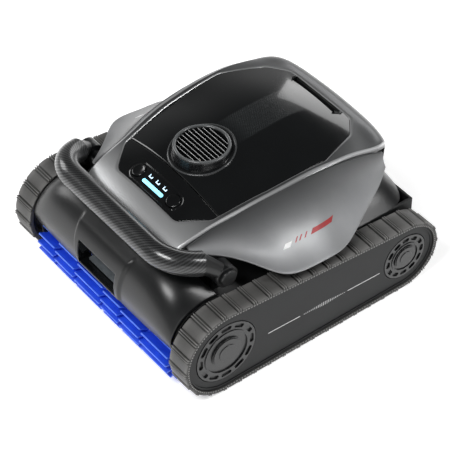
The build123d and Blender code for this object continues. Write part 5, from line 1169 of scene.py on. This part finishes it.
def sideLinePatches():
    # two thin printed lines, and between them ticks that are tallest in the middle
    start, end = np.array(sideLine["start"]), np.array(sideLine["end"])
    spans = [(a, b, sideLine["half"]) for a, b in sideLine["lines"]]
    for share in np.linspace(*sideLine["tickRange"], sideLine["ticks"]):
        peak = math.exp(-((share - sideLine["peakAt"]) / sideLine["peakSpread"]) ** 2)
        tall = sideLine["tickLow"] + sideLine["tickRise"] * peak
        spans.append((share - sideLine["tickShare"], share + sideLine["tickShare"], tall))
    patches = []
    for a, b, tall in spans:
        along = np.linspace(a, b, 6)[:, None]
        middle = start + along * (end - start)
        yz = middle[:, None] + np.array([[0, -1.0], [0, 0], [0, 1.0]]) * tall
        x = np.full(yz.shape[:2] + (1,), sideLine["x"])
        patches.append(gridPatch(np.concatenate([x, yz], -1) * mm, facing=(1, 0, 0)))
    return patches


buildPair("sideLine", sideLinePatches(), "whiteInk")
print("belts built")

brush = {"y": -177.0, "z": 44.5, "radius": 42.0, "core": 20.0, "half": 153.0, "rows": 18,
         "lean": -8.0, "twist": 4.0, "gap": 1.8, "rootGap": 1.2, "tipGap": 1.6,
         "segments": (0.137, 0.157, 0.203, 0.140, 0.157, 0.206), "tipHighlight": 0.7, "endHighlight": 0.4}


def paddleSection(angle):
    # a blade that leans a little as it goes out, full at the root and eased at the tip
    lean = angle + math.radians(brush["lean"])
    start, reach = brush["core"] + brush["rootGap"], brush["radius"] - brush["tipGap"]
    slant = math.radians(brush["lean"])
    length = math.sqrt(reach ** 2 - (start * math.sin(slant)) ** 2) - start * math.cos(slant)
    shape = np.array([(0, 1.45), (0.5 * length, 1.45), (length - 1.0, 1.45), (length - 0.25, 1.3), (length,
                                                                                                    0.8),
                      (length, -0.3), (length - 0.3, -0.75), (length - 1.0, -0.95), (0.5 * length, -1.2),
                      (0, -1.4)])
    base = np.array([brush["y"], brush["z"]]) + start * np.array([math.cos(angle), math.sin(angle)])
    along = np.array([math.cos(lean), math.sin(lean)])
    return (base + shape[:, :1] * along + shape[:, 1:] * np.array([-along[1], along[0]])) * mm


def paddlePatches():
    patches, start = [], -brush["half"]
    for number, share in enumerate(brush["segments"]):
        size = 2 * brush["half"] * share
        for row in range(brush["rows"]):
            angle = row * 2 * math.pi / brush["rows"] + math.radians(number * brush["twist"])
            section = paddleSection(angle)
            patch = barPatch(section, (start + brush["gap"]) * mm, (start + size - brush["gap"]) * mm, 0.7)
            # painted highlight: the tip of each blade, and more faintly its two ends, are paler
            grid = np.zeros((6, len(section)))
            grid[:, 3:7] = brush["tipHighlight"]
            grid[[0, 1, -2, -1]] = brush["endHighlight"]
            patch["paintedLightShade"] = grid.ravel()
            patches.append(patch)
        start += size
    return patches


sleeveProfile = [(20.1, 0.0), (22.2, 0.0), (22.5, 0.4), (22.5, 305.6), (22.2, 306.0), (20.1, 306.0)]
sleeveSides = 72
sleeve = lathePatch(sleeveProfile, (-brush["half"], brush["y"], brush["z"]), (1, 0, 0), sleeveSides)
# both ends stay open, so the two end faces go
sleeve["faces"], sleeve["loops"] = sleeve["faces"][:-2], sleeve["loops"][:-2 * sleeveSides]
buildPiece("brushPaddles", paddlePatches() + [sleeve], "paddleUrethane", "brush", ["brush_paddles"],
           sharp=40)
print("brush built")

# the finish of each CAD node; the left and right of a pair share one entry
nodeFinishes = {
    "side_cover": "coverNylon", "front_wheel": "hubNylon", "rear_wheel": "hubNylon",
    "front_hub_cap": "hubNylon",
    "rear_hub_cap": "hubNylon", "rear_axle": "shaftSteel", "drive_gear": "gearNylon",
    "drive_pinion": "gearNylon",
    "front_axles": "shaftSteel", "drive_motors": "motorCan", "belt_guides": "gearNylon",
    "chassis_tub": "chassisAbs", "base_plate": "chassisAbs", "base_screws": "shaftSteel",
    "sensor_window": "sensorAcrylic", "sensor_eye": "eyeGlass", "brush_core": "coreBlue",
    "brush_motor": "motorCan", "brush_pin": "shaftSteel", "upper_body": "bodyAbs", "handle_arms": "bodyAbs",
    "handle_pins": "bodyAbs", "hinge_arms": "chassisAbs", "hinge_bracket": "chassisAbs",
    "finger_scoop": "chassisAbs", "lid_seal": "sealRubber", "control_board": "boardMask",
    "pump_motor": "motorCan", "impeller": "gearNylon", "impeller_duct": "chassisAbs",
    "filter_basket": "chassisAbs", "filter_mesh": "meshNylon", "inlet_flap": "sealRubber",
    "battery_packs": "batteryFilm", "charge_contacts": "contactBrass", "top_frame": "lacquer",
    "wing": "wingLacquerPaintedLightShade", "lid": "lidGloss", "control_panel": "panelGloss", "button": "panelGloss",
    "panel_lights": "litBar", "grille_ring": "ringAbs", "grille_slats": "slatAluminium",
    "handle_grip": "bodyAbs", "belt": "beltRubber", "front_fairing": "bodyAbs", "nose_cover": "bodyAbs",
    "brush_paddles": "paddleUrethane",
}
# rounded edges, in millimetres, on the ones that show
nodeEdges = {"side_cover": 0.7, "front_wheel": 0.5, "rear_wheel": 0.5, "front_hub_cap": 0.45,
             "rear_hub_cap": 0.45, "handle_arms": 0.8, "finger_scoop": 0.4, "base_plate": 0.6,
             "chassis_tub": 0.8, "sensor_window": 0.3, "sensor_eye": 0.3}
for name, piece in nodes.items():
    kind = name[:-6] if name.endswith("_right") else name[:-5] if name.endswith("_left") else name
    finish = finishes[nodeFinishes[kind]]
    if piece.material_slots:
        for place in piece.material_slots:
            place.material = finish
    else:
        piece.data.materials.append(finish)
    if kind in nodeEdges and not piece.hide_render:
        weld = piece.modifiers.new("Weld", "WELD")
        weld.merge_threshold = 0.01 * mm
        edge = piece.modifiers.new("Edges", "BEVEL")
        edge.width, edge.segments, edge.limit_method = nodeEdges[kind] * mm, 2, "ANGLE"
        edge.angle_limit, edge.harden_normals = math.radians(35), True
print("CAD nodes finished")
